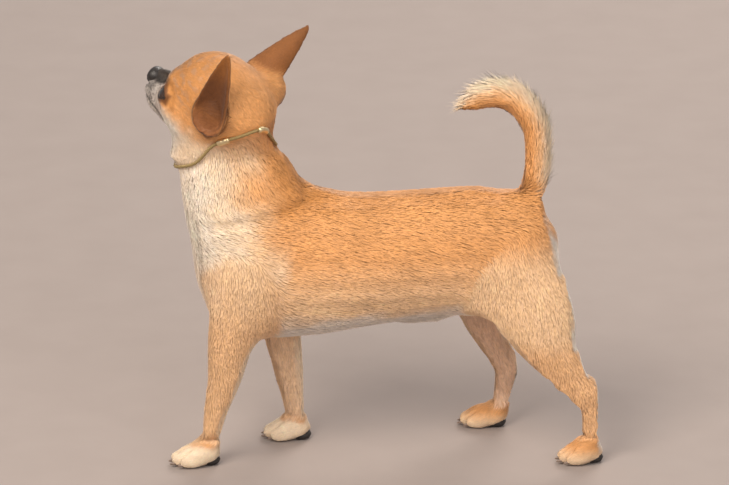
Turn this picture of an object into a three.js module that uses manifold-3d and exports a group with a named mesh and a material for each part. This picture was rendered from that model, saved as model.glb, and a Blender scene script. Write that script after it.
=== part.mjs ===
// Chihuahua: an adult male smooth-coat dog, life size, standing on four feet with its head
// raised and turned to its right. Millimetres. It faces -X, its left side is toward -Y, +Z is up.
// The outer surface is the tips of the coat. The feet stand on z = 0.
import * as THREE from 'three';
import { mergeVertices } from 'three/addons/utils/BufferGeometryUtils.js';
import Module from 'manifold-3d';

// Clearance between neighbouring pieces
const GAP = 0.3;
const HALF_GAP = GAP / 2;

// Sizes of the triangles on each part of the body
const CELL = {
  trunk: 16.4, neck: 12.4, head: 8.1, leg: 10.8, paw: 5.5, tail: 7.6,
};

// Widths over which neighbouring masses of flesh run into each other
const BLEND = { limb: 11, neck: 11, head: 9, tail: 9, paw: 2.4, wrist: 6 };

// Trunk: centre height, half height and half width of the coat's outline, from breast to rump
const TRUNK = [
  { at: [-84, 0, 148], up: 50, side: 38 },
  { at: [-60, 0, 148], up: 56, side: 42 },
  { at: [-36, 0, 148], up: 56, side: 43 },
  { at: [-7, 0, 149], up: 51.5, side: 42.5 },
  { at: [24, 0, 151.5], up: 49.5, side: 41 },
  { at: [52, 0, 154], up: 48.5, side: 39 },
  { at: [82, 0, 156], up: 48, side: 37 },
  { at: [106, 0, 157.5], up: 42, side: 34 },
  { at: [116, 0, 160], up: 31, side: 27 },
];

// Neck and breast: up is the half depth from throat to nape, side the half width
const NECK = [
  { at: [-82, 0, 126], up: 35, side: 34 },
  { at: [-82, 0, 150], up: 43, side: 37 },
  { at: [-84, 0, 176], up: 46, side: 37 },
  { at: [-90, 0, 200], up: 45, side: 34 },
  { at: [-97.5, 0, 220], up: 40, side: 29 },
  { at: [-105.5, 0, 239], up: 34, side: 26 },
  { at: [-114, 1, 255], up: 24.5, side: 24 },
];

// Lines of the four legs from the joint in the trunk down to the foot
const FORELEG_LEFT = [
  { at: [-88, -25, 140], up: 25, side: 14 },
  { at: [-96, -27, 114], up: 21, side: 14 },
  { at: [-102, -26, 91], up: 16.5, side: 13 },
  { at: [-105.5, -25.5, 67], up: 13, side: 11.5 },
  { at: [-110.5, -25, 50], up: 10.5, side: 10 },
  { at: [-113.5, -24.5, 36], up: 9.2, side: 9.5 },
  { at: [-116, -24, 22], up: 8.3, side: 8.6 },
  { at: [-119, -24, 13], up: 8, side: 9 },
];
const FORELEG_RIGHT = [
  { at: [-64, 25, 140], up: 24, side: 14 },
  { at: [-63, 27, 114], up: 20, side: 14 },
  { at: [-60, 26, 84], up: 14.5, side: 13 },
  { at: [-56.8, 25, 63], up: 12.3, side: 11.5 },
  { at: [-54.6, 24.5, 47], up: 11, side: 10 },
  { at: [-52.3, 24, 32], up: 8.6, side: 9.3 },
  { at: [-50.5, 24, 18], up: 7.6, side: 8.4 },
  { at: [-52, 24, 12], up: 7.6, side: 8.8 },
];
const HINDLEG_LEFT = [
  { at: [104, -19, 150], up: 29, side: 17 },
  { at: [116, -24, 128], up: 33, side: 17 },
  { at: [127, -29, 105], up: 28, side: 15.5 },
  { at: [136, -33, 84], up: 19.5, side: 13 },
  { at: [149, -36, 66], up: 14.5, side: 11 },
  { at: [160, -37.5, 52], up: 11, side: 9.5 },
  { at: [163.4, -38.5, 35], up: 7.7, side: 8 },
  { at: [163.2, -39, 20], up: 7.4, side: 8 },
  { at: [161, -39, 12], up: 7.4, side: 8.4 },
];
const HINDLEG_RIGHT = [
  { at: [104, 19, 150], up: 29, side: 17 },
  { at: [98, 24, 128], up: 30, side: 17 },
  { at: [90, 29, 106], up: 24, side: 15.5 },
  { at: [90.5, 34, 86], up: 15.5, side: 12.5 },
  { at: [96.5, 36, 71], up: 11.5, side: 11 },
  { at: [104.5, 37.5, 57], up: 10.3, side: 9.5 },
  { at: [108.4, 38.5, 45], up: 9.2, side: 8.4 },
  { at: [106.6, 39, 28], up: 7.6, side: 8 },
  { at: [103.5, 39, 14], up: 7.4, side: 8.4 },
];
// The bony point at the back of each hock
const HOCK_POINTS = [
  { at: [166, -37.5, 57], radii: [7, 5.5, 8] },
  { at: [116.5, 38, 52], radii: [6.5, 5.5, 8] },
];

// Tail: carried up and curled forward over the back
const TAIL = [
  { at: [117, 0, 186], up: 13, side: 13 },
  { at: [122.7, 0, 200.4], up: 11, side: 10.5 },
  { at: [126, 0, 217], up: 10, side: 9.5 },
  { at: [126.6, 0, 231.5], up: 10.2, side: 9.5 },
  { at: [125.6, 0, 245.6], up: 10.6, side: 9.5 },
  { at: [121.2, 0, 257.5], up: 11, side: 9.5 },
  { at: [112.4, 0, 268.6], up: 11.4, side: 9.5 },
  { at: [101.3, 0, 275.2], up: 11.4, side: 9.5 },
  { at: [90.3, 0, 275.5], up: 10.8, side: 9 },
  { at: [80, 0, 271], up: 8.8, side: 7.5 },
  { at: [71, 0, 266.3], up: 5.2, side: 5 },
];

// Swellings on the trunk: withers, sheath, flanks and the tuft at the throat
const TRUNK_MASSES = [
  { at: [-45, 0, 188], radii: [26, 16, 18] },
  { at: [46, 0, 103], radii: [16, 7.5, 11] },
  { at: [84, 0, 124], radii: [26, 30, 15] },
  { at: [-133, 0, 234], radii: [10, 9, 8] },
];

// Paws: middle of the foot on the floor, its length, and the way it points (degrees from -X)
const PAWS = {
  forepaw_left: { at: [-127, -24], long: 35, wide: 24, turn: 6 },
  forepaw_right: { at: [-56.5, 24], long: 34, wide: 24, turn: -4 },
  hindpaw_left: { at: [157, -39], long: 31, wide: 22, turn: 6 },
  hindpaw_right: { at: [91.5, 39.5], long: 32.5, wide: 22, turn: -6 },
};
const PAW_TOP = 19;

// A paw of the given length and width: masses of its heel and instep, four toe ends from inside to
// outside, and the toe and knuckle that stand at each. Ahead, aside and high from the foot's middle
const FOOT = {
  long: 35,
  wide: 24,
  soles: [
    { ahead: -8, aside: 0, high: 8, radii: [10, 10, 9] },
    { ahead: 0, aside: 0, high: 9, radii: [10, 9.5, 8] },
  ],
  toeEnds: [[-8.6, 5], [-3.1, 10], [3.1, 10], [8.6, 5]],
  toe: { high: 5.4, radii: [7.4, 3.7, 6.2] },
  knuckle: { back: 5, inward: 0.85, high: 7.6, radii: [7.5, 4.2, 6.4] },
  clawHigh: 5.6,
  heel: { ahead: -10.5, aside: 0, high: 3.4 },
};

// Head: the middle of the skull, and how far the face turns to the dog's right, is lifted and tips
const SKULL = new THREE.Vector3(-105.5, 3, 270.5);
const HEAD_TURN = THREE.MathUtils.degToRad(38);
const HEAD_LIFT = THREE.MathUtils.degToRad(25);
const HEAD_TIP = THREE.MathUtils.degToRad(4);

// In the head's own frame x runs forward, y to the dog's left and z up from the middle of the skull
const SKULL_MASSES = [
  { at: [-5, 0, 5], radii: [36, 34, 29] },
  { at: [9, 0, 8], radii: [29.5, 30.5, 27.5] },
  { at: [-21, 0, 4], radii: [21, 25, 20] },
  { at: [8, 0, -16], radii: [26, 26, 18] },
];
const EAR_ROOTS = [
  { at: [-14, -32, 14], radii: [15, 14, 18] },
  { at: [-12, 26, 4], radii: [14, 9, 15] },
];
const CHEEK = { at: [19, 14.5, -12], radii: [20, 15.5, 17] };
const BROW = { at: [30.5, 12, 3.5], radii: [10.5, 11, 7] };
const LIP = { at: [48, 5.8, -21.5], radii: [9.5, 6.6, 7.6] };
const MUZZLE = [
  { at: [23, 0, -13], up: 15, side: 17 },
  { at: [36, 0, -15.5], up: 11.6, side: 13 },
  { at: [46, 0, -16.6], up: 10, side: 10.4 },
  { at: [50.5, 0, -17.5], up: 8, side: 9 },
];
const JAW = [
  { at: [8, 0, -28], up: 11, side: 16 },
  { at: [28, 0, -30.5], up: 8, side: 12 },
  { at: [44.5, 0, -30], up: 5.6, side: 7.8 },
];
const EYE = { at: [29.5, 19.2, -8], radius: 8.8 };
const NOSE = { at: [55.2, 0, -13.2], radii: [6, 8, 6.2] };

// Ears, from the middle of the skull: root, tip and the side to which the hollow opens
const EARS = {
  ear_left: { root: [-13, -36, -7], tip: [5, -43, 53.5], open: [-0.55, -0.82, 0.2], wide: 33, taper: 0.6 },
  ear_right: { root: [23, 12, 10], tip: [68.5, 32, 50], open: [0.06, 0.82, -0.57], wide: 34, taper: 0.7 },
};
const EAR = {
  thick: 2.6, thinning: 0.45, cup: 0.5, buried: 0.12, bowl: 0.16, closing: 0.85, blunt: 0.03,
  along: 10, across: 7,
};

// Collar: a thin cord round the neck. Its height is given in the ring of directions round the neck
const COLLAR = {
  cord: 1.25,
  low: [-93, 0, 214],
  high: [-110, 0, 258],
  heights: [[0, 225], [38, 233], [75, 249], [97, 255], [140, 264], [180, 239], [270, 240], [360, 225]],
  steps: 36,
  sides: { cord: 5, sleeve: 7 },
  sleeveSteps: 3,
  ease: 12,
  look: 3,
  sleeve: 2.7,
  sleeves: { collar_slide: [134, 150], collar_crimp: [84, 103] },
};

// Claws: each starts just clear of its toe. Pads: one black pad under the heel of each paw
const CLAW = { long: 3.3, thick: 1.5, droop: 0.3, clear: 0.5 };
const PAD = { radii: [8.2, 7.6, 4.6] };

// A faceted ball of a larger size keeps the full gap only if it is made a little larger still
const BALL_MARGIN = 1.15;

// Room that a leg takes: its outline from the side, and the line where it meets the belly
const LEG_ROOM = {
  foreleg_left: {
    side: -1,
    outline: [[-160, -9], [-80, -9], [-78, 75], [-67, 105], [-66, 140], [-80, 164], [-106, 168],
      [-124, 150], [-132, 118], [-160, 70]],
  },
  foreleg_right: {
    side: 1,
    outline: [[-110, -9], [-20, -9], [-20, 60], [-34, 92], [-38, 140], [-52, 164], [-78, 168],
      [-98, 150], [-100, 110], [-92, 80]],
  },
  hindleg_left: {
    side: -1,
    outline: [[120, -9], [200, -9], [200, 80], [176, 120], [170, 165], [140, 182], [102, 178],
      [76, 150], [66, 118], [92, 84], [120, 45]],
  },
  hindleg_right: {
    side: 1,
    outline: [[50, -9], [150, -9], [150, 70], [160, 100], [170, 165], [140, 182], [98, 178],
      [66, 150], [50, 112], [60, 60]],
  },
};
const LEG_INSIDE = [[-70, -9], [-3, -9], [-3, 84], [-13, 104], [-15, 190], [-70, 190]];

// Where the body is parted across: a point on each cut and the direction toward the far piece
const CUTS = {
  head: { at: [-104, 0, 249], toward: [-0.42, 0, 0.91] },
  neck: { at: [-92, 0, 206], toward: [-0.25, 0, 0.97] },
  tail: { at: [121, 0, 203], toward: [0.4, 0, 1] },
  tailMiddle: { at: [127, 0, 240], toward: [0, 0, 1] },
  tailTip: { at: [101, 0, 276], toward: [-1, 0, 0] },
};

// Boxes in which each part of the surface is meshed, as their low and high corners
const BOXES = {
  trunk: [[-172, -62, 60], [178, 62, 262]],
  neck: [[-162, -52, 172], [-20, 52, 290]],
  head: [[-170, -46, 222], [-52, 52, 322]],
  tail: [[54, -21, 182], [150, 21, 298]],
  foreleg_left: [[-146, -54, 8], [-52, 12, 178]],
  foreleg_right: [[-112, -12, 8], [-16, 54, 178]],
  hindleg_left: [[56, -58, 8], [188, 12, 190]],
  hindleg_right: [[38, -12, 8], [180, 58, 190]],
};
const PAW_BOX = { ahead: 27, aside: 21, below: 9, above: 12 };

// Colours of the plain solids
const COLOURS = {
  gold: 0xc98a4b, dark: 0xb8763c, pale: 0xe6cdb0, black: 0x1b1718, horn: 0x4a3a32,
  eye: 0x1a0f0c, brass: 0xb09a5c,
};

// Size of the block that stands for everything on one side of a plane
const BLOCK_SIZE = 900;

// Step over which the slope of the surface is measured, and the stride toward the surface
const SLOPE_STEP = 0.2;
const STRIDE = 0.25;

// Each corner of the mesh is pulled onto the surface so many times, each time at most this share
// of a cell, and as though the slope were never less than the least
const PULL = { rounds: 3, share: 1 / 3, least: 0.2 };

const wasm = await Module();
wasm.setup();
const X_AXIS = new THREE.Vector3(1, 0, 0);
const Y_AXIS = new THREE.Vector3(0, 1, 0);
const Z_AXIS = new THREE.Vector3(0, 0, 1);

// Distance to an ellipsoid, from a point already in the ellipsoid's own axes
function ellipsoidDistance(x, y, z, rx, ry, rz) {
  const near = Math.hypot(x / rx, y / ry, z / rz);
  const slope = Math.hypot(x / (rx * rx), y / (ry * ry), z / (rz * rz));
  return slope < 1e-9 ? -Math.min(rx, ry, rz) : near * (near - 1) / slope;
}

// Distance to a rounded mass with its axes along the frame's
function mass({ at, radii }) {
  return (x, y, z) => ellipsoidDistance(x - at[0], y - at[1], z - at[2], ...radii);
}

// The same mass on the other side of the body
function mirrored({ at, radii }) {
  return { at: [at[0], -at[1], at[2]], radii };
}

// Two surfaces run together over the given width
function blend(a, b, width) {
  const share = Math.max(width - Math.abs(a - b), 0) / width;
  return Math.min(a, b) - share * share * width / 4;
}

function blendAll(fields, width) {
  return (x, y, z) => fields.reduce((sum, field) => blend(sum, field(x, y, z), width), 1e3);
}

// A limb or neck: a smooth line of oval sections that swell and taper between its stations
function chain(stations, steps = 3) {
  const curve = new THREE.CatmullRomCurve3(stations.map((s) => new THREE.Vector3(...s.at)));
  const sizes = new THREE.CatmullRomCurve3(stations.map((s) => new THREE.Vector3(s.up, s.side, 0)));
  const count = (stations.length - 1) * steps;
  const links = [];
  for (let i = 0; i < count; i += 1) {
    const a = curve.getPoint(i / count);
    const b = curve.getPoint((i + 1) / count);
    const along = b.clone().sub(a);
    const length = along.length();
    along.divideScalar(length);
    const side = Y_AXIS.clone().addScaledVector(along, -along.y).normalize();
    const up = new THREE.Vector3().crossVectors(along, side);
    const from = sizes.getPoint(i / count);
    const to = sizes.getPoint((i + 1) / count);
    links.push({ a, along, side, up, length, from, to });
  }
  return (x, y, z) => {
    let best = 1e3;
    for (const { a, along, side, up, length, from, to } of links) {
      const px = x - a.x;
      const py = y - a.y;
      const pz = z - a.z;
      const ahead = px * along.x + py * along.y + pz * along.z;
      const share = Math.min(Math.max(ahead / length, 0), 1);
      const upRadius = from.x + (to.x - from.x) * share;
      const sideRadius = from.y + (to.y - from.y) * share;
      const distance = ellipsoidDistance(
        px * up.x + py * up.y + pz * up.z,
        px * side.x + py * side.y + pz * side.z,
        ahead - share * length,
        upRadius, sideRadius, Math.min(upRadius, sideRadius),
      );
      best = Math.min(best, distance);
    }
    return best;
  };
}

// The head's frame: forward, left and up as the photo's pose has them
function headFrame() {
  const forward = new THREE.Vector3(
    -Math.cos(HEAD_TURN) * Math.cos(HEAD_LIFT), Math.sin(HEAD_TURN) * Math.cos(HEAD_LIFT),
    Math.sin(HEAD_LIFT),
  );
  const left = new THREE.Vector3(-Math.sin(HEAD_TURN), -Math.cos(HEAD_TURN), 0);
  left.applyAxisAngle(forward, HEAD_TIP);
  const up = new THREE.Vector3().crossVectors(forward, left);
  return new THREE.Matrix4().makeBasis(forward, left, up).setPosition(SKULL);
}

const HEAD = headFrame();
const HEAD_INVERSE = HEAD.clone().invert().elements;

// Reads a shape that is drawn in the head's frame from a point in the body's frame
function inHead(field) {
  const m = HEAD_INVERSE;
  return (x, y, z) => field(
    m[0] * x + m[4] * y + m[8] * z + m[12],
    m[1] * x + m[5] * y + m[9] * z + m[13],
    m[2] * x + m[6] * y + m[10] * z + m[14],
  );
}

// A foot: four toes in a fan, each with a knuckle, and the heel behind them
function pawMasses({ at, long, wide, turn }) {
  const yaw = THREE.MathUtils.degToRad(turn);
  const forward = [-Math.cos(yaw), -Math.sin(yaw)];
  const scale = long / FOOT.long;
  const spread = wide / FOOT.wide;
  const { toe, knuckle } = FOOT;
  const parts = [...FOOT.soles];
  const toes = [];
  for (const [aside, ahead] of FOOT.toeEnds) {
    parts.push({ ...toe, ahead, aside });
    parts.push({ ...knuckle, ahead: ahead - knuckle.back, aside: aside * knuckle.inward });
    toes.push({ ahead, aside, high: FOOT.clawHigh });
  }
  const place = ({ ahead, aside, high }) => [
    at[0] + forward[0] * ahead * scale - forward[1] * aside * spread,
    at[1] + forward[1] * ahead * scale + forward[0] * aside * spread,
    high,
  ];
  const masses = parts.map((part) => ({ at: place(part), radii: part.radii }));
  const toeEnds = toes.map((toe) => new THREE.Vector3(...place(toe)));
  const heel = place(FOOT.heel);
  return { masses, toeEnds, heel, forward };
}

// The whole body, as one surface
const pawShapes = Object.fromEntries(
  Object.entries(PAWS).map(([name, paw]) => [name, pawMasses(paw)]),
);
const trunkField = blendAll([chain(TRUNK), chain(NECK), ...TRUNK_MASSES.map(mass)], BLEND.limb);
const limb = (stations, name) => {
  const upper = chain(stations);
  const paw = blendAll(pawShapes[name].masses.map(mass), BLEND.paw);
  return (x, y, z) => blend(upper(x, y, z), paw(x, y, z), BLEND.wrist);
};
const [hockLeft, hockRight] = HOCK_POINTS.map(mass);
const hindLeft = limb(HINDLEG_LEFT, 'hindpaw_left');
const hindRight = limb(HINDLEG_RIGHT, 'hindpaw_right');
const limbs = [
  limb(FORELEG_LEFT, 'forepaw_left'),
  limb(FORELEG_RIGHT, 'forepaw_right'),
  (x, y, z) => blend(hindLeft(x, y, z), hockLeft(x, y, z), BLEND.wrist),
  (x, y, z) => blend(hindRight(x, y, z), hockRight(x, y, z), BLEND.wrist),
];
const skullField = blendAll([
  ...SKULL_MASSES, ...EAR_ROOTS, CHEEK, mirrored(CHEEK), BROW, mirrored(BROW), LIP, mirrored(LIP),
].map(mass).concat([chain(MUZZLE), chain(JAW)]), BLEND.head);
const headField = inHead(skullField);
const tailField = chain(TAIL);

function body(x, y, z) {
  let best = trunkField(x, y, z);
  for (const leg of limbs) best = blend(best, leg(x, y, z), BLEND.limb);
  best = blend(best, tailField(x, y, z), BLEND.tail);
  return blend(best, headField(x, y, z), BLEND.neck);
}

function gradient(field, x, y, z) {
  const h = SLOPE_STEP;
  return [
    (field(x + h, y, z) - field(x - h, y, z)) / (2 * h),
    (field(x, y + h, z) - field(x, y - h, z)) / (2 * h),
    (field(x, y, z + h) - field(x, y, z - h)) / (2 * h),
  ];
}

// The point straight ahead from a start inside the body where the skin is a given distance behind
function onSurface(start, toward, clear) {
  const point = start.clone();
  while (body(...point) < clear) point.addScaledVector(toward, STRIDE);
  return point;
}

// A cube's twelve edges, and its six faces as rings of corners. A corner's three bits say on which
// side of the cube it is along x, y and z. An edge is numbered by its axis and its place across it
const corner = (axis, s, t, along) => (
  (along << axis) | (s << ((axis + 1) % 3)) | (t << ((axis + 2) % 3))
);
const edgeNumber = (axis, s, t) => axis * 4 + s + 2 * t;
const CUBE_EDGES = [0, 1, 2].flatMap((axis) => [[0, 0], [1, 0], [0, 1], [1, 1]].map(([s, t]) => (
  { axis, from: corner(axis, s, t, 0), to: corner(axis, s, t, 1) }
)));
const CUBE_FACES = [0, 1, 2].flatMap((axis) => [0, 1].map((side) => (
  [[0, 0], [1, 0], [1, 1], [0, 1]].map(([s, t]) => corner(axis, s, t, side))
)));

function edgeBetween(a, b) {
  return CUBE_EDGES.findIndex(({ from, to }) => (from === a && to === b) || (from === b && to === a));
}

const FACE_EDGES = CUBE_FACES.map((ring) => ring.map((a, i) => edgeBetween(a, ring[(i + 1) % 4])));

// The sheets of surface in one cube, each as the list of cube edges that it crosses
function sheetsInCube(inside) {
  const owner = CUBE_EDGES.map(({ from, to }, i) => (inside[from] === inside[to] ? -1 : i));
  const join = (a, b) => {
    const [keep, lose] = [owner[a], owner[b]];
    owner.forEach((value, i) => { if (value === lose) owner[i] = keep; });
  };
  CUBE_FACES.forEach((ring, face) => {
    const edges = FACE_EDGES[face];
    const crossed = edges.filter((edge) => owner[edge] >= 0);
    if (crossed.length === 2) join(crossed[0], crossed[1]);
    if (crossed.length === 4) {
      ring.forEach((at, i) => { if (inside[at]) join(edges[i], edges[(i + 3) % 4]); });
    }
  });
  const sheets = new Map();
  owner.forEach((value, edge) => {
    if (value >= 0) sheets.set(value, [...(sheets.get(value) ?? []), edge]);
  });
  return [...sheets.values()];
}

// Closed mesh of the surface inside a box: one vertex for each sheet of surface in a small cube,
// moved onto the surface, and one four-sided face round each crossed cube edge
function surfaceMesh(field, low, high, cell) {
  const n = low.map((from, i) => Math.ceil((high[i] - from) / cell) + 1);
  const at = (i, j, k) => (k * n[1] + j) * n[0] + i;
  const each = (last, visit) => {
    for (let k = 0; k < n[2] - last; k += 1) {
      for (let j = 0; j < n[1] - last; j += 1) {
        for (let i = 0; i < n[0] - last; i += 1) visit([i, j, k]);
      }
    }
  };
  const values = new Float64Array(n[0] * n[1] * n[2]);
  each(0, (cube) => {
    const onBox = cube.some((base, c) => base === 0 || base === n[c] - 1);
    const value = field(...cube.map((base, c) => low[c] + base * cell));
    values[at(...cube)] = onBox ? Math.max(value, cell / 2) : value;
  });
  const vertexOf = new Map();
  const positions = [];
  const bit = (number, axis) => (number >> axis) & 1;
  const valueAt = ([i, j, k], number) => (
    values[at(i + bit(number, 0), j + bit(number, 1), k + bit(number, 2))]
  );
  each(1, (cube) => {
    const inside = [0, 1, 2, 3, 4, 5, 6, 7].map((number) => valueAt(cube, number) < 0);
    if (inside.every((value) => value === inside[0])) return;
    for (const edges of sheetsInCube(inside)) {
      const sum = [0, 0, 0];
      for (const edge of edges) {
        const { axis, from, to } = CUBE_EDGES[edge];
        const a = valueAt(cube, from);
        const share = a / (a - valueAt(cube, to));
        for (let c = 0; c < 3; c += 1) sum[c] += bit(from, c) + (c === axis ? share : 0);
      }
      let point = cube.map((base, c) => low[c] + (base + sum[c] / edges.length) * cell);
      const inner = cube.every((base, c) => base > 0 && base < n[c] - 2);
      for (let round = 0; inner && round < PULL.rounds; round += 1) {
        const slope = gradient(field, ...point);
        const steep = slope[0] ** 2 + slope[1] ** 2 + slope[2] ** 2;
        const pull = field(...point) / Math.max(steep, PULL.least);
        const step = THREE.MathUtils.clamp(pull, -cell * PULL.share, cell * PULL.share);
        point = point.map((value, c) => value - slope[c] * step);
      }
      for (const edge of edges) vertexOf.set(at(...cube) * 12 + edge, positions.length / 3);
      positions.push(...point);
    }
  });
  const index = [];
  each(1, ([i, j, k]) => {
    for (let axis = 0; axis < 3; axis += 1) {
      const step = [0, 0, 0].map((_, c) => (c === axis ? 1 : 0));
      const inside = values[at(i, j, k)] < 0;
      if (inside === values[at(i + step[0], j + step[1], k + step[2])] < 0) continue;
      const u = step.map((_, c) => (c === (axis + 1) % 3 ? 1 : 0));
      const v = step.map((_, c) => (c === (axis + 2) % 3 ? 1 : 0));
      const ring = [[1, 1], [0, 1], [0, 0], [1, 0]].map(([s, t]) => vertexOf.get(
        at(i - s * u[0] - t * v[0], j - s * u[1] - t * v[1], k - s * u[2] - t * v[2]) * 12
          + edgeNumber(axis, s, t),
      ));
      if (!inside) ring.reverse();
      index.push(ring[0], ring[1], ring[2], ring[0], ring[2], ring[3]);
    }
  });
  const geometry = new THREE.BufferGeometry();
  geometry.setAttribute('position', new THREE.Float32BufferAttribute(positions, 3));
  geometry.setIndex(index);
  return geometry;
}

// A closed geometry as a solid that can be joined and cut
function solid(geometry) {
  const bare = geometry.clone();
  bare.deleteAttribute('normal');
  bare.deleteAttribute('uv');
  const merged = mergeVertices(bare, 1e-4);
  return new wasm.Manifold(new wasm.Mesh({
    numProp: 3,
    vertProperties: new Float32Array(merged.attributes.position.array),
    triVerts: new Uint32Array(merged.index.array),
  }));
}

function geometryOf(made) {
  const mesh = made.getMesh();
  const geometry = new THREE.BufferGeometry();
  geometry.setAttribute('position', new THREE.BufferAttribute(mesh.vertProperties, 3));
  geometry.setIndex(new THREE.BufferAttribute(mesh.triVerts, 1));
  geometry.computeVertexNormals();
  return geometry;
}

// Everything on the far side of a plane: the block starts at the point and runs along the normal
function halfSpace(point, normal) {
  const block = new THREE.BoxGeometry(BLOCK_SIZE, BLOCK_SIZE, BLOCK_SIZE)
    .translate(0, 0, BLOCK_SIZE / 2);
  const turn = new THREE.Quaternion().setFromUnitVectors(Z_AXIS, normal);
  return solid(block.applyQuaternion(turn).translate(...point));
}

// A straight-sided block: an outline in the XZ plane, drawn out along Y
function blockAlongY(outline, yLow, yHigh) {
  const shape = new THREE.Shape(outline.map(([x, z]) => new THREE.Vector2(x, z)));
  const made = new THREE.ExtrudeGeometry(shape, { depth: yHigh - yLow, bevelEnabled: false });
  return solid(made.rotateX(Math.PI / 2).translate(0, yHigh, 0));
}

// The same outline made wider by a distance on every side (points run anticlockwise)
function widened(outline, distance) {
  return outline.map((point, i) => {
    const before = outline.at(i - 1);
    const after = outline[(i + 1) % outline.length];
    const a = new THREE.Vector2(point[1] - before[1], before[0] - point[0]).normalize();
    const b = new THREE.Vector2(after[1] - point[1], point[0] - after[0]).normalize();
    const out = a.clone().add(b).normalize();
    const reach = distance / Math.max(out.dot(a), 0.5);
    return [point[0] + out.x * reach, point[1] + out.y * reach];
  });
}

function legRoom({ side, outline }, extra) {
  const across = widened(LEG_INSIDE, extra).map(([y, z]) => [y * -side, z]);
  if (side > 0) across.reverse();
  const shape = new THREE.Shape(across.map(([y, z]) => new THREE.Vector2(y, z)));
  const alongX = new THREE.ExtrudeGeometry(shape, { depth: BLOCK_SIZE, bevelEnabled: false })
    .translate(0, 0, -BLOCK_SIZE / 2)
    .applyMatrix4(new THREE.Matrix4().makeBasis(Y_AXIS, Z_AXIS, X_AXIS));
  return blockAlongY(widened(outline, extra), -BLOCK_SIZE / 2, BLOCK_SIZE / 2).intersect(solid(alongX));
}

function cut(name, beyond) {
  const { at, toward } = CUTS[name];
  const normal = new THREE.Vector3(...toward).normalize();
  if (!beyond) normal.negate();
  const start = new THREE.Vector3(...at).addScaledVector(normal, HALF_GAP);
  return halfSpace(start.toArray(), normal);
}

const ABOVE_FLOOR = halfSpace([0, 0, 0], Z_AXIS);
const ABOVE_PAWS = halfSpace([0, 0, PAW_TOP + HALF_GAP], Z_AXIS);
const BELOW_PAW_TOP = halfSpace([0, 0, PAW_TOP - HALF_GAP], Z_AXIS.clone().negate());

function flesh([low, high], cell, field = body) {
  return solid(surfaceMesh(field, low, high, cell));
}

// A round or oval body, made larger by a margin where it is the room that another piece leaves
function ball(radii, at, extra, sides = 10) {
  return new THREE.SphereGeometry(1, sides, sides / 2 + 1)
    .scale(...radii.map((radius) => radius + extra * BALL_MARGIN)).translate(...at);
}

const group = new THREE.Group();
function add(name, made, colour, roughness = 0.9, metalness = 0) {
  const geometry = made.isBufferGeometry ? made : geometryOf(made);
  const material = new THREE.MeshStandardMaterial({ color: colour, roughness, metalness });
  const mesh = new THREE.Mesh(geometry, material);
  mesh.name = name;
  group.add(mesh);
}

// Trunk, neck and the four legs
let trunk = flesh(BOXES.trunk, CELL.trunk)
  .intersect(cut('neck', false))
  .intersect(cut('tail', false));
for (const [name, room] of Object.entries(LEG_ROOM)) {
  trunk = trunk.subtract(legRoom(room, HALF_GAP));
  const leg = flesh(BOXES[name], CELL.leg).intersect(legRoom(room, -HALF_GAP)).intersect(ABOVE_PAWS);
  add(name, leg, COLOURS.gold);
}
add('trunk', trunk, COLOURS.gold);
add('neck', flesh(BOXES.neck, CELL.neck)
  .intersect(cut('neck', true)).intersect(cut('head', false)), COLOURS.gold);

// Tail, in three lengths
const tailMesh = flesh(BOXES.tail, CELL.tail).intersect(cut('tail', true));
add('tail_root', tailMesh.intersect(cut('tailMiddle', false)), COLOURS.gold);
add('tail_middle', tailMesh.intersect(cut('tailMiddle', true)).intersect(cut('tailTip', false)),
  COLOURS.gold);
add('tail_tip', tailMesh.intersect(cut('tailTip', true)), COLOURS.dark);

// Paws, trimmed flat where they stand, each with a black pad at the heel and four claws
// A claw starts just clear of the toe, straight ahead of it
function claw(toe, forward) {
  const { long, thick, droop, clear } = CLAW;
  const outline = [[0, 0], [thick, 0], [thick * 0.7, long * 0.6], [0, long]];
  const shape = new THREE.LatheGeometry(outline.map(([r, h]) => new THREE.Vector2(r, h)), 6);
  const toward = new THREE.Vector3(forward[0], forward[1], -droop).normalize();
  const start = onSurface(toe, toward, clear);
  const turn = new THREE.Quaternion().setFromUnitVectors(Y_AXIS, toward);
  return shape.applyQuaternion(turn).translate(...start);
}

for (const [name, { toeEnds, heel, forward }] of Object.entries(pawShapes)) {
  const [x, y] = PAWS[name].at;
  const { ahead, aside, below, above } = PAW_BOX;
  const pawBox = [[x - ahead, y - aside, -below], [x + ahead, y + aside, PAW_TOP + above]];
  const pad = solid(ball(PAD.radii, heel, 0)).intersect(ABOVE_FLOOR);
  const padRoom = solid(ball(PAD.radii, heel, GAP));
  const paw = flesh(pawBox, CELL.paw).intersect(ABOVE_FLOOR).intersect(BELOW_PAW_TOP);
  add(name, paw.subtract(padRoom), COLOURS.pale);
  add(`${name}_pad`, pad, COLOURS.black, 0.7);
  toeEnds.forEach((tip, i) => {
    add(`${name}_claw_${i + 1}`, geometryOf(solid(claw(tip, forward))), COLOURS.horn, 0.5);
  });
}

// Eyes and nose, in the head's frame
const eyeBall = (side, extra) => (
  ball([EYE.radius, EYE.radius, EYE.radius], [EYE.at[0], EYE.at[1] * side, EYE.at[2]], extra, 14)
    .applyMatrix4(HEAD)
);
const noseBall = (extra) => ball(NOSE.radii, NOSE.at, extra).applyMatrix4(HEAD);
add('eye_left', eyeBall(1, 0), COLOURS.eye, 0.1);
add('eye_right', eyeBall(-1, 0), COLOURS.eye, 0.1);
add('nose', noseBall(0), COLOURS.black, 0.45);

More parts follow.
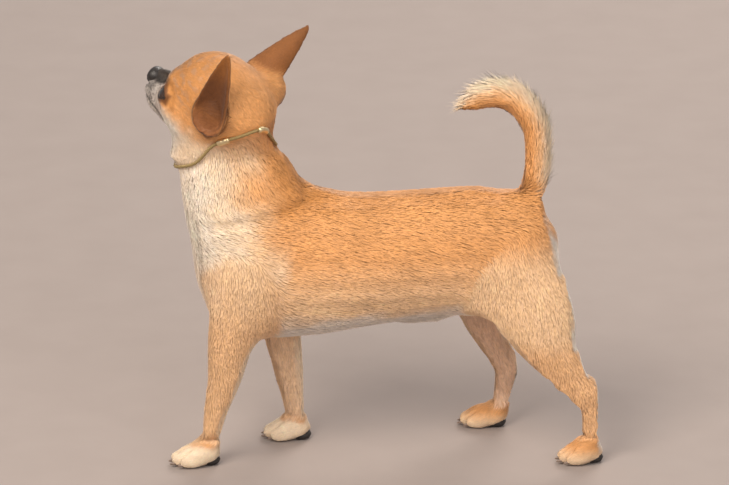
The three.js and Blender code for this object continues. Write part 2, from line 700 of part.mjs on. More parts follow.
// Closed surface through a row of rings of points. Two end points close it, or else the last ring
// runs on into the first
function ringsGeometry(rings, ends = null) {
  const around = rings[0].length;
  const points = [...rings.flat(), ...(ends ?? [])];
  const index = [];
  const rows = ends ? rings.length - 1 : rings.length;
  for (let row = 0; row < rows; row += 1) {
    const next = (row + 1) % rings.length;
    for (let step = 0; step < around; step += 1) {
      const beside = (step + 1) % around;
      const [a, b] = [row * around + step, row * around + beside];
      const [c, d] = [next * around + step, next * around + beside];
      index.push(a, c, b, b, c, d);
    }
  }
  for (let step = 0; ends && step < around; step += 1) {
    const beside = (step + 1) % around;
    const [first, last] = [rings.length * around, (rings.length - 1) * around];
    index.push(first, step, beside, first + 1, last + beside, last + step);
  }
  const geometry = new THREE.BufferGeometry();
  geometry.setAttribute('position', new THREE.Float32BufferAttribute(
    points.flatMap((point) => point.toArray()), 3,
  ));
  geometry.setIndex(index);
  return geometry;
}

// Ears: a pointed leaf, hollowed toward its opening, thinning to its rim
function ear({ root, tip, open, wide, taper }) {
  const base = new THREE.Vector3(...root).add(SKULL);
  const axis = new THREE.Vector3(...tip).add(SKULL).sub(base);
  const length = axis.length();
  axis.divideScalar(length);
  const hollow = new THREE.Vector3(...open);
  hollow.addScaledVector(axis, -hollow.dot(axis)).normalize();
  const across = new THREE.Vector3().crossVectors(axis, hollow);
  const rings = Array.from({ length: EAR.along }, (_, row) => {
    const share = row / EAR.along * (1 + EAR.buried) - EAR.buried;
    const below = Math.max(EAR.bowl - share, 0) / (EAR.bowl + EAR.buried);
    const width = wide / 2 * ((1 - share) ** taper + EAR.blunt) * Math.sqrt(1 - EAR.closing * below ** 2);
    return Array.from({ length: 2 * EAR.across }, (__, step) => {
      const angle = step / EAR.across * Math.PI;
      const aside = Math.cos(angle);
      const thick = EAR.thick * (1 - EAR.thinning * share) * Math.sin(angle) / 2;
      const deep = EAR.cup * width * (1 - aside * aside);
      return base.clone().addScaledVector(axis, length * share)
        .addScaledVector(across, aside * width)
        .addScaledVector(hollow, thick - deep);
    });
  });
  const ends = [base.clone().addScaledVector(axis, -EAR.buried * length)
    .addScaledVector(hollow, -EAR.cup * wide / 2)];
  ends.push(base.clone().addScaledVector(axis, length));
  return solid(ringsGeometry(rings, ends));
}

// Head, with room for the eyes, the nose and the ears
const head = flesh(BOXES.head, CELL.head)
  .intersect(cut('head', true))
  .subtract(solid(eyeBall(1, GAP)))
  .subtract(solid(eyeBall(-1, GAP)))
  .subtract(solid(noseBall(GAP)));
const aroundHead = flesh(BOXES.head, CELL.head, (x, y, z) => body(x, y, z) - GAP);
add('head', head, COLOURS.gold);
for (const [name, shape] of Object.entries(EARS)) {
  add(name, ear(shape).subtract(aroundHead), COLOURS.dark);
}

// Collar: a round cord that lies on the coat, with a slide behind the ear and a crimped sleeve
function lineAt(knots, value) {
  const i = knots.findIndex(([end]) => value <= end);
  const [[from, a], [to, b]] = [knots[Math.max(i - 1, 0)], knots[Math.max(i, 1)]];
  return THREE.MathUtils.mapLinear(value, from, to, a, b);
}

function collarPoint(degrees) {
  const angle = THREE.MathUtils.degToRad(degrees);
  const height = lineAt(COLLAR.heights, degrees);
  const [low, high] = [new THREE.Vector3(...COLLAR.low), new THREE.Vector3(...COLLAR.high)];
  const axis = low.clone().lerp(high, (height - low.z) / (high.z - low.z));
  const lift = Math.max(...Object.values(COLLAR.sleeves).map(([from, to]) => (
    THREE.MathUtils.smoothstep(degrees, from - COLLAR.ease, from)
      * (1 - THREE.MathUtils.smoothstep(degrees, to, to + COLLAR.ease))
  )));
  const clear = GAP * 2 + THREE.MathUtils.lerp(COLLAR.cord, COLLAR.sleeve, lift);
  return onSurface(axis, new THREE.Vector3(-Math.cos(angle), -Math.sin(angle), 0), clear);
}

function collarRings(from, to, steps, radius, sides) {
  return Array.from({ length: steps }, (_, i) => {
    const degrees = from + (to - from) * i / (to - from < 360 ? steps - 1 : steps);
    const at = collarPoint(degrees);
    const along = collarPoint((degrees + COLLAR.look) % 360)
      .sub(collarPoint((degrees + 360 - COLLAR.look) % 360));
    along.normalize();
    const out = new THREE.Vector3().crossVectors(along, Z_AXIS).normalize();
    const over = new THREE.Vector3().crossVectors(out, along);
    return Array.from({ length: sides }, (__, side) => {
      const turn = side / sides * 2 * Math.PI;
      return at.clone().addScaledVector(out, radius * Math.cos(turn))
        .addScaledVector(over, radius * Math.sin(turn));
    });
  });
}

const { cord, steps, sides, sleeve, sleeves, sleeveSteps } = COLLAR;
const cordSolid = (radius) => solid(ringsGeometry(collarRings(0, 360, steps, radius, sides.cord)));
add('collar_cord', geometryOf(cordSolid(cord)), COLOURS.brass, 0.6);
const cordRoom = cordSolid(cord + GAP);
for (const [name, [from, to]] of Object.entries(sleeves)) {
  const rings = collarRings(from, to, sleeveSteps, sleeve, sides.sleeve);
  const centre = (ring) => ring.reduce((sum, point) => sum.add(point), new THREE.Vector3())
    .divideScalar(ring.length);
  const tube = solid(ringsGeometry(rings, [centre(rings[0]), centre(rings.at(-1))]));
  add(name, tube.subtract(cordRoom), COLOURS.brass, 0.35, 0.8);
}

// The origin is the middle of the floor under the dog
const room = new THREE.Box3().setFromObject(group);
const middle = room.getCenter(new THREE.Vector3());
group.position.set(-middle.x, -middle.y, -room.min.z);
group.updateMatrixWorld(true);

export default group;
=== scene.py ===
"""Chihuahua: skin, coat, eyes, nose, claws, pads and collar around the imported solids.

The dog faces -X with its left side toward -Y. Shapes are worked out in millimetres and written in metres.
"""

import logging
import math
from dataclasses import dataclass
from enum import Enum

import bmesh
import bpy
import numpy as np
from mathutils import Matrix, Vector
from mathutils.bvhtree import BVHTree
from mathutils.kdtree import KDTree


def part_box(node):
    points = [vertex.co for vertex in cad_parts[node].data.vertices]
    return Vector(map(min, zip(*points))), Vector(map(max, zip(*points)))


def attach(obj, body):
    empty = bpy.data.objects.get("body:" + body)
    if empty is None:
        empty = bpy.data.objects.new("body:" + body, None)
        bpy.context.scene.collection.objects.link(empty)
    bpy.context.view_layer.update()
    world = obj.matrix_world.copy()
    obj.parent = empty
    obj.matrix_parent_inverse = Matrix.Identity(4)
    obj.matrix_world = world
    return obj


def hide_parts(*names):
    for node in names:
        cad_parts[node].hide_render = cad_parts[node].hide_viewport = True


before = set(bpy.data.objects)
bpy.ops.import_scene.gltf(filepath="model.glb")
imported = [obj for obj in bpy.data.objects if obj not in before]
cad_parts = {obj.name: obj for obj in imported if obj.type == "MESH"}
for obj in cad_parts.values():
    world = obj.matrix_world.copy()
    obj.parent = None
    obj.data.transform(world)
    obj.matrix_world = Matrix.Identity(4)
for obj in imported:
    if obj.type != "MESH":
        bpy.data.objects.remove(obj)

LOG = logging.getLogger("chihuahua")
MM = 0.001


def linear(code: str) -> tuple[float, float, float, float]:
    """Turns an sRGB hex colour to linear light.

    Args:
        code: Colour such as "#d29a5c".

    Returns:
        Red, green, blue and alpha, from 0 to 1.
    """
    parts = [int(code[i : i + 2], 16) / 255 for i in (1, 3, 5)]
    return (*(c / 12.92 if c <= 0.04045 else ((c + 0.055) / 1.055) ** 2.4 for c in parts), 1.0)


def tint(code: str) -> np.ndarray:
    """Returns the linear red, green and blue of a hex colour as an array."""
    return np.array(linear(code)[:3])


def soft(low: float, high: float, value: np.ndarray) -> np.ndarray:
    """Smooth step from 0 at low to 1 at high, falling where low is above high.

    Args:
        low: Value where the step is 0.
        high: Value where the step is 1.
        value: Numbers to place on the step.

    Returns:
        Numbers from 0 to 1.
    """
    t = np.clip((value - low) / (high - low), 0, 1)
    return t * t * (3 - 2 * t)


def unit(vectors: np.ndarray) -> np.ndarray:
    """Returns the rows scaled to length one."""
    return vectors / np.maximum(np.linalg.norm(vectors, axis=-1, keepdims=True), 1e-9)


def dot(a: np.ndarray, b: np.ndarray) -> np.ndarray:
    """Returns the row by row dot product."""
    return (a * b).sum(-1)


def line_of(distance: np.ndarray, wide: float) -> np.ndarray:
    """Returns 1 on a line, falling off softly to the given width on both sides."""
    return np.exp(-((distance / wide) ** 2))


def spread(points: np.ndarray, seed: int, size: float) -> np.ndarray:
    """Smooth random blotches, the same on every run.

    Args:
        points: Places in millimetres.
        seed: Picks the pattern.
        size: Rough width of one blotch in millimetres.

    Returns:
        Numbers from about -1 to 1.
    """
    rng = np.random.default_rng(seed)
    total = np.zeros(len(points))
    for _ in range(7):
        wave = rng.normal(size=3)
        total += np.sin(points @ (wave / np.linalg.norm(wave)) * 2 * math.pi / (size * rng.uniform(1, 2.4))
                        + rng.uniform(0, 6.3))
    return total / 3.2


class Part(Enum):
    """Parts of the body that carry a coat of their own kind."""

    TRUNK = 0
    NECK = 1
    HEAD = 2
    EAR_LEFT = 3
    EAR_RIGHT = 4
    TAIL = 5
    FORELEG = 6
    HINDLEG = 7
    PAW = 8


PART_NODES = {
    Part.TRUNK: ("trunk",),
    Part.NECK: ("neck",),
    Part.HEAD: ("head",),
    Part.EAR_LEFT: ("ear_left",),
    Part.EAR_RIGHT: ("ear_right",),
    Part.TAIL: ("tail_root", "tail_middle", "tail_tip"),
    Part.FORELEG: ("foreleg_left", "foreleg_right"),
    Part.HINDLEG: ("hindleg_left", "hindleg_right"),
    Part.PAW: ("forepaw_left", "forepaw_right", "hindpaw_left", "hindpaw_right"),
}


@dataclass
class Places:
    """Places on the body: points in millimetres, outward directions and the share of each part there."""

    points: np.ndarray
    normals: np.ndarray
    weights: np.ndarray

    def of(self, *parts: Part) -> np.ndarray:
        """Returns the summed share of some parts at each place."""
        return sum(self.weights[:, part.value] for part in parts)


@dataclass(frozen=True)
class HeadFrame:
    """The skull's own axes: x forward, y to the dog's left, z up, in millimetres and degrees."""

    centre: tuple[float, float, float] = (-113.1, 2.8, 270.5)
    turn: float = 38.0
    lift: float = 25.0
    tip: float = 4.0

    def axes(self) -> np.ndarray:
        """Returns the forward, left and up directions as rows."""
        turn, lift, tip = (math.radians(v) for v in (self.turn, self.lift, self.tip))
        level = math.cos(lift)
        forward = np.array([-math.cos(turn) * level, math.sin(turn) * level, math.sin(lift)])
        left = np.array([-math.sin(turn), -math.cos(turn), 0.0])
        left = left * math.cos(tip) + np.cross(forward, left) * math.sin(tip)
        return np.array([forward, left, np.cross(forward, left)])

    def inside(self, points: np.ndarray) -> np.ndarray:
        """Returns points of the body in the head's axes."""
        return (points - np.array(self.centre)) @ self.axes().T

    def outside(self, points: np.ndarray) -> np.ndarray:
        """Returns points in the head's axes in those of the body."""
        return np.array(self.centre) + np.asarray(points, float) @ self.axes()


HEAD = HeadFrame()
EYE_AT = (29.5, 19.2, -8.0)
EYE_RADIUS = 8.8
NOSE_AT = (56.4, 0.0, -12.4)
NOSE_RADII = (6.8, 7.8, 6.9)
THROAT = (-140.6, 0.0, 234.0)


def eye_at(side: int) -> np.ndarray:
    """Returns the middle of the left (1) or right (-1) eye, in the head's axes."""
    return np.array(EYE_AT) * (1, side, 1)


def from_eye(h: np.ndarray) -> np.ndarray:
    """Returns how far points in the head's axes are from the middle of the nearer eye."""
    return np.linalg.norm(np.stack([h[:, 0], np.abs(h[:, 1]), h[:, 2]], 1) - np.array(EYE_AT), axis=1)


@dataclass(frozen=True)
class Lids:
    """The almond-shaped opening between the lids: its hinge and its halves, in degrees round the eye."""

    gaze: tuple[float, float, float] = (0.84, 0.53, 0.1)
    hinge: tuple[float, float, float] = (0.12, 0.0, 1.0)
    half_long: float = 54.0
    upper: float = 25.0
    lower: float = 21.0
    fullness: float = 0.8
    fade: tuple[float, float] = (16.0, 12.5)

    def look(self, side: int) -> np.ndarray:
        """Returns the direction in which the left (1) or right (-1) eye looks, in the head's axes."""
        return unit(np.array(self.gaze) * (1, side, 1))

    def opening(self, h: np.ndarray, side: int) -> tuple[np.ndarray, np.ndarray, np.ndarray, np.ndarray]:
        """Measures where points lie round one eye.

        Args:
            h: Points in the head's axes.
            side: 1 for the left eye, -1 for the right.

        Returns:
            Degrees inside the opening, the share that is near the eye's front, and the distance
            and direction from the middle of the eye.
        """
        gaze = self.look(side)
        corner = unit(np.cross(self.hinge, gaze)) * side
        over = np.cross(gaze, corner) * side
        offset = h - eye_at(side)
        far = np.linalg.norm(offset, axis=1)
        d = offset / np.maximum(far, 1e-6)[:, None]
        u = np.degrees(np.arctan2(d @ corner, d @ gaze))
        v = np.degrees(np.arcsin(np.clip(d @ over, -1, 1)))
        bow = np.clip(1 - (u / self.half_long) ** 2, 0, 1) ** self.fullness
        inside = np.minimum(self.upper * bow - v, v + self.lower * bow)
        inside = np.minimum(inside, self.half_long - np.abs(u))
        return inside, soft(*self.fade, far) * (d @ gaze > -0.3), far, d


LIDS = Lids()


@dataclass(frozen=True)
class Ear:
    """One ear: where it grows from the skull, where its tip is and which way its hollow opens."""

    root: tuple[float, float, float]
    tip: tuple[float, float, float]
    opening: tuple[float, float, float]
    wide: float
    taper: float
    cup: float = 0.5
    thick: float = 2.6
    buried: float = 0.1
    bowl: float = 0.24
    closing: float = 0.96
    blunt: float = 0.03

    def axes(self) -> tuple[np.ndarray, np.ndarray, np.ndarray, float]:
        """Returns the directions along, across and out of the hollow, and the length."""
        along = np.array(self.tip) - np.array(self.root)
        length = float(np.linalg.norm(along))
        along = along / length
        hollow = np.array(self.opening)
        hollow = unit(hollow - along * hollow.dot(along))
        return along, np.cross(along, hollow), hollow, length

    def local(self, points: np.ndarray) -> tuple[np.ndarray, np.ndarray, np.ndarray]:
        """Measures where points lie in the ear's own axes.

        Args:
            points: Places in millimetres.

        Returns:
            Share of the length, share of the way to the edge, and millimetres toward the opening.
        """
        along, across, hollow, length = self.axes()
        offset = points - np.array(HEAD.centre) - np.array(self.root)
        share = offset @ along / length
        return share, np.abs(offset @ across) / np.maximum(self.half_width(share), 1), offset @ hollow

    def half_width(self, share: np.ndarray) -> np.ndarray:
        """Returns half of the ear's width at shares of its length."""
        below = np.clip((self.bowl - share) / (self.bowl + self.buried), 0, 1)
        narrowing = np.clip(1 - share, 0, 1.3) ** self.taper + self.blunt
        return self.wide / 2 * narrowing * np.sqrt(1 - self.closing * below**2)

    def shape(self) -> bmesh.types.BMesh:
        """Returns the ear as a curved leaf of skin, in metres, rooted inside the skull."""
        along, across, hollow, length = self.axes()
        leaf = bmesh.new()
        bmesh.ops.create_grid(leaf, x_segments=26, y_segments=20, size=1.0)
        for vertex in leaf.verts:
            share = 0.5 * (vertex.co.x + 1) * (1 + self.buried) - self.buried
            side = vertex.co.y
            half = float(self.half_width(np.array(share)))
            deep = self.cup * half * (1 - side * side)
            place = np.array(HEAD.centre) + np.array(self.root) + along * (length * share)
            place = place + across * (side * half) - hollow * deep
            vertex.co = place * MM
        leaf.normal_update()
        bmesh.ops.solidify(leaf, geom=leaf.faces[:], thickness=self.thick * MM)
        bmesh.ops.recalc_face_normals(leaf, faces=leaf.faces)
        return leaf


EARS = {
    Part.EAR_LEFT: Ear((-12.7, -36, -5), (5, -43, 53), (-0.55, -0.82, 0.2), 33, 0.6),
    Part.EAR_RIGHT: Ear((23, 12, 10), (68, 32, 49.5), (0.06, 0.82, -0.57), 34, 0.7),
}
TAIL_LINE = np.array([
    (109.4, 0, 186), (115.1, 0, 200.4), (118.4, 0, 217), (119, 0, 231.5), (118, 0, 245.6),
    (113.6, 0, 257.5), (104.8, 0, 268.6), (93.7, 0, 275.2), (82.7, 0, 275.5), (72.4, 0, 271),
    (63.4, 0, 266.3),
])


def tail_place(points: np.ndarray) -> tuple[np.ndarray, np.ndarray, np.ndarray]:
    """Finds the nearest stretch of the tail's middle line.

    Args:
        points: Places in millimetres.

    Returns:
        The share of the way to the tip, the line's direction and the offset from the line.
    """
    start, end = TAIL_LINE[:-1], TAIL_LINE[1:]
    run = end - start
    t = np.clip(((points[:, None] - start) * run).sum(-1) / (run * run).sum(-1), 0, 1)
    offset = points[:, None] - (start + t[..., None] * run)
    best = np.linalg.norm(offset, axis=-1).argmin(1)
    rows = np.arange(len(points))
    return (best + t[rows, best]) / len(run), unit(run)[best], offset[rows, best]


@dataclass(frozen=True)
class Foot:
    """One foot: its middle on the floor, its length and width, and its turn from -X in degrees."""

    middle: tuple[float, float]
    long: float
    wide: float
    turn: float

    def local(self, points: np.ndarray) -> tuple[np.ndarray, np.ndarray]:
        """Returns how far ahead and aside of the foot's middle each point is."""
        yaw = math.radians(self.turn)
        x, y = points[:, 0] - self.middle[0], points[:, 1] - self.middle[1]
        ahead, aside = -(x * math.cos(yaw) + y * math.sin(yaw)), x * math.sin(yaw) - y * math.cos(yaw)
        far = (np.hypot(x, y) > 30) | (points[:, 2] > 24)
        return np.where(far, -99, ahead), aside

    def toes(self) -> list[tuple[np.ndarray, tuple[float, float, float]]]:
        """Returns the middle and radii of each toe and its knuckle."""
        yaw = math.radians(self.turn)
        ahead = -np.array([math.cos(yaw), math.sin(yaw), 0])
        aside = np.array([-ahead[1], ahead[0], 0])
        found = []
        for out, reach in ((-8.8, 5.5), (-3.2, 10.5), (3.2, 10.5), (8.8, 5.5)):
            for back, high, radii in ((0, 5.6, (7.9, 3.5, 5.6)), (5, 8.2, (7.6, 3.6, 6.4))):
                place = np.array([*self.middle, high]) + ahead * (reach - back) * self.long / 35
                place = place + aside * out * (1 if back == 0 else 0.85) * self.wide / 24
                found.append((place, radii))
        return found


FEET = {
    "forepaw_left": Foot((-134.6, -24.2), 35, 24, 6),
    "forepaw_right": Foot((-64.1, 23.8), 34, 24, -4),
    "hindpaw_left": Foot((149.4, -39.2), 31, 22, 6),
    "hindpaw_right": Foot((83.9, 39.3), 32.5, 22, -6),
}


@dataclass(frozen=True)
class Crease:
    """Folds of the shoulder: one from the nape to the breast, and one behind the upper foreleg."""

    at: tuple[float, float] = (-140.0, 184.0)
    slope: float = 0.197
    elbow: tuple[float, float] = (-77.0, 150.0)
    slant: float = 0.12

    def height(self, x: np.ndarray) -> np.ndarray:
        """Returns the height of the fold from nape to breast."""
        return self.at[1] + (x - self.at[0]) * self.slope

    def behind(self, x: np.ndarray, z: np.ndarray) -> np.ndarray:
        """Returns how far behind the fold of the foreleg a point is."""
        return x - self.elbow[0] - (z - self.elbow[1]) * self.slant


CREASE = Crease()


Layers = list[tuple[np.ndarray, np.ndarray]]


class Markings:
    """Colours of the coat and of the skin under it, from the place on the body."""

    gold = tint("#e3a265")
    deep = tint("#bf7f3e")
    light = tint("#f9d1a6")
    cream = tint("#f9dfc0")
    white = tint("#f8efe4")
    belly = tint("#eadaca")
    blush = tint("#f0c9ac")
    umber = tint("#5a3216")
    amber = tint("#85501f")
    # Dark russet of the painted shade on the backs of the ears.
    shaded_russet = tint("#744218")
    flesh = tint("#85502d")
    soot = tint("#1a1513")
    grey = tint("#9f938f")
    pale_grey = tint("#cdbcb2")

    def colours(self, on: Places) -> np.ndarray:
        """Colours for places on the body.

        Args:
            on: The places.

        Returns:
            Linear red, green and blue, one row for each place.
        """
        colour = np.tile(self.gold, (len(on.points), 1))
        for paint in (self._trunk, self._neck, self._legs, self._tail, self._head, self._ears):
            for target, share in paint(on):
                share = np.clip(share, 0, 1)[:, None]
                colour = colour * (1 - share) + target * share
        blotch = spread(on.points, 3, 26) * 0.045 + spread(on.points, 4, 9) * 0.035
        return np.clip(colour * (1 + blotch)[:, None], 0, 1)

    def _trunk(self, on: Places) -> Layers:
        """Darker back, paler flanks and belly, and painted shade along the crease across the shoulder."""
        x, z = on.points[:, 0], on.points[:, 2]
        body = on.of(Part.TRUNK, Part.NECK) + 0.6 * on.of(Part.HINDLEG)
        ridge = soft(186, 208, z + 4 * spread(on.points, 5, 18)) * soft(-95, -60, x)
        return [
            (self.light, 0.8 * soft(172, 122, z) * soft(-110, -60, x) * body),
            (self.light, 0.75 * soft(0.3, 0.8, on.of(Part.HINDLEG)) * soft(178, 150, z) * soft(84, 104, z)),
            (self.light, 0.6 * soft(26, 6, np.hypot(x + 98, (z - 150) * 0.8))),
            (self.deep, 0.62 * ridge * body),
            (self.cream, 0.7 * soft(17, 3, np.abs(CREASE.behind(x, z) + 5)) * soft(182, 150, z) * body),
            # Painted shade: a darker line along the fold from the nape to the breast.
            (self.deep, 0.45 * soft(7, 1, np.abs(z - CREASE.height(x))) * soft(8, -10, x) * body),
            (self.belly, soft(124, 108, z + 4 * spread(on.points, 6, 14)) * soft(-96, -74, x)
             * soft(0.3, 0.9, on.of(Part.TRUNK))),
            (self.white, 0.5 * soft(-0.5, -0.95, on.normals[:, 2]) * soft(150, 110, z) * on.of(Part.TRUNK)),
            (self.white, 0.9 * soft(0.72, 0.95, on.normals[:, 0]) * soft(100, 112, x) * soft(192, 176, z)),
        ]

    def _neck(self, on: Places) -> Layers:
        """Cream throat and breast that fade into gold at the sides, and a darker nape."""
        x, z = on.points[:, 0], on.points[:, 2]
        front = np.interp(z, [90, 120, 150, 190, 225, 250], [-112, -122, -128, -133, -139, -142])
        behind = x - front + 5 * spread(on.points, 7, 16)
        body = on.of(Part.TRUNK, Part.NECK) + 0.5 * on.of(Part.FORELEG)
        return [
            (self.light, 0.8 * soft(62, 32, behind) * soft(105, 130, z) * body),
            (self.cream, 0.95 * soft(44, 20, behind) * soft(146, 168, z) * body),
            (self.white, 0.5 * soft(20, 4, behind) * soft(110, 140, z) * body),
            (self.deep, 0.3 * soft(60, 76, behind) * soft(205, 235, z) * on.of(Part.NECK)),
        ]

    def _legs(self, on: Places) -> Layers:
        """Pale inner sides and rear edges, and cream feet."""
        x, y, z = on.points.T
        rear = on.normals[:, 0]
        fore, hind = on.of(Part.FORELEG), on.of(Part.HINDLEG)
        inner = soft(0.15, 0.75, -on.normals[:, 1] * np.sign(y))
        return [
            (self.blush, 0.85 * inner * soft(118, 100, z) * (fore + hind)),
            (self.light, 0.6 * fore),
            (self.cream, 0.85 * soft(0.35, 0.85, rear) * soft(120, 95, z) * fore),
            (self.cream, 0.55 * soft(0.45, 0.95, -rear) * soft(62, 85, z) * soft(128, 110, z) * hind),
            (self.white, 0.7 * soft(0.72, 0.98, rear) * soft(64, 90, z) * hind),
            (self.cream, soft(21, 13, z + 2 * spread(on.points, 8, 7)) * soft(0, -60, x)),
            (self.light, 0.9 * soft(15, 7, z) * soft(40, 70, x)),
            (self.cream, 0.6 * soft(9, 4, z) * soft(40, 70, x)),
        ]

    def _tail(self, on: Places) -> Layers:
        """Pale outer side, a dark root and a deep orange tip."""
        share, along, offset = tail_place(on.points)
        outward = np.cross([0, 1, 0], along)
        outer = dot(unit(offset), outward)
        tail = on.of(Part.TAIL)
        return [
            (self.light, 0.5 * soft(-0.6, 0.4, outer) * tail),
            (self.cream, 0.95 * soft(0.25, 0.85, outer) * tail),
            (self.deep, 0.7 * soft(0.2, 0.05, share) * soft(0.3, -0.4, outer) * tail),
            (self.deep, 0.75 * soft(0.72, 0.95, share) * soft(0.3, -0.5, outer) * tail),
        ]

    def _head(self, on: Places) -> Layers:
        """Speckled grey muzzle, white chin and lips, pale cheeks, dark lids with painted shade round the
        eyes, and a ticked forehead.
        """
        p = on.points
        h = HEAD.inside(p)
        x, side, z = h[:, 0], np.abs(h[:, 1]), h[:, 2]
        face = soft(0.2, 0.7, on.of(Part.HEAD))
        ticks = soft(0.15, 0.7, spread(p, 9, 3.2))
        openings = [LIDS.opening(h, one) for one in (1, -1)]
        lids = np.max([np.where(near > 0.3, inside, -90) for inside, near, _, _ in openings], axis=0)
        bare = np.minimum(openings[0][2], openings[1][2])
        speckle = soft(-0.05, 0.35, spread(p, 10, 1.2) * spread(p, 14, 1.6) + 0.2 * spread(p, 15, 5))
        lip = self.lip_height(x)
        return [
            (self.cream, 0.85 * soft(-10, -24, z + 2 * spread(p, 12, 8)) * soft(44, 20, x) * face),
            (self.white, 0.85 * soft(-13, -24, z) * soft(-2, 18, x) * face),
            (self.deep, 0.4 * soft(-6, 6, z) * soft(-14, 10, x) * face),
            (self.grey, 0.3 * ticks * soft(-12, 2, z) * soft(-6, 22, x) * face),
            (self.pale_grey, 0.85 * soft(30, 36, x) * soft(-6, -12, z) * face),
            (self.grey, 0.9 * soft(39, 46, x) * soft(-2, -10, z) * soft(-30, -22, z) * face),
            (self.white, 0.45 * (1 - speckle) * soft(37, 43, x) * face),
            (self.soot, 0.5 * speckle * soft(38, 46, x) * face),
            (self.soot, 0.9 * soft(35, 40, x) * soft(-13.5, -10, z) * soft(3, -3, z) * soft(11, 8, side)
             * face),
            (self.soot, 0.6 * soft(46, 51, x) * soft(-24, -15, z) * face),
            (self.deep, 0.6 * soft(15, 11.5, bare) * soft(-14, -8, z) * face),
            # Umber round each eye, out to 16 to 38 degrees from the opening: partly the lids' dark skin and
            # partly painted shade in the eye's socket.
            (self.umber, 0.85 * soft(-38, -16, lids) * face),
            (self.soot, 0.95 * soft(-11, -5, lids) * face),
            (self.umber, 0.75 * soft(4.5, 1.5, np.hypot(side - 14.5, (z + 11) * 0.55))
             * soft(34, 37, x) * soft(45, 41, x) * face),
            (self.soot, 0.9 * soft(1.5, 0.6, np.abs(z - lip)) * soft(18, 24, x) * face),
        ]

    def lip_height(self, x: np.ndarray) -> np.ndarray:
        """Returns the height of the closed mouth's line in the head's axes."""
        return np.interp(x, [14, 26, 36, 46, 52], [-34, -32.5, -30, -27.2, -25])

    def _ears(self, on: Places) -> Layers:
        """Russet backs darkened by painted shade, flesh-brown hollows that turn amber and umber toward the
        tip, partly their own thin-haired skin and partly painted shade in the hollow, and dark rims.
        """
        layers = []
        for part, ear in EARS.items():
            share, edge, out = ear.local(on.points)
            opening = on.normals @ ear.axes()[2]
            near = soft(-0.28, -0.1, share) * soft(1.3, 1.0, edge) * soft(-16, -10, out) * soft(12, 8, out)
            belongs = on.of(part)
            over = out + ear.cup * ear.half_width(share) * np.clip(1 - edge**2, 0, 1)
            inner = soft(0.0, 0.45, opening) * near * soft(1.0, 0.82, edge) * soft(-5, -3.5, over)
            layers += [
                # Painted shade: the backs of the ears are painted a dark russet.
                (self.shaded_russet, 0.9 * belongs * soft(-0.05, 0.3, share) * soft(0.25, -0.25, opening)),
                # The hollow: partly its thin-haired skin, partly painted shade, darkest umber midway up.
                (self.flesh, 0.9 * inner),
                (self.amber, 0.9 * inner * soft(0.0, 0.35, share)),
                (self.umber, 0.85 * inner * soft(0.05, 0.3, share) * soft(0.85, 0.5, share)),
                (self.umber, 0.9 * belongs * soft(0.86, 0.97, edge) * soft(1.2, 1.05, edge)
                 * soft(-0.05, 0.1, share)),
            ]
        return layers


MARKINGS = Markings()


def add_node(tree: bpy.types.NodeTree, kind: str, settings: dict | None = None,
             links: dict | None = None) -> bpy.types.Node:
    """Adds a node with its settings and incoming links.

    Args:
        tree: Node tree of a material or a world.
        kind: Node type.
        settings: Values of inputs, by name or index, and of the node's own options.
        links: Outputs to link, by the name or index of the input.

    Returns:
        The new node.
    """
    node = tree.nodes.new(kind)
    for name, value in (settings or {}).items():
        if isinstance(name, int) or name in node.inputs:
            node.inputs[name].default_value = value
        else:
            setattr(node, name, value)
    for name, source in (links or {}).items():
        tree.links.new(source, node.inputs[name])
    return node


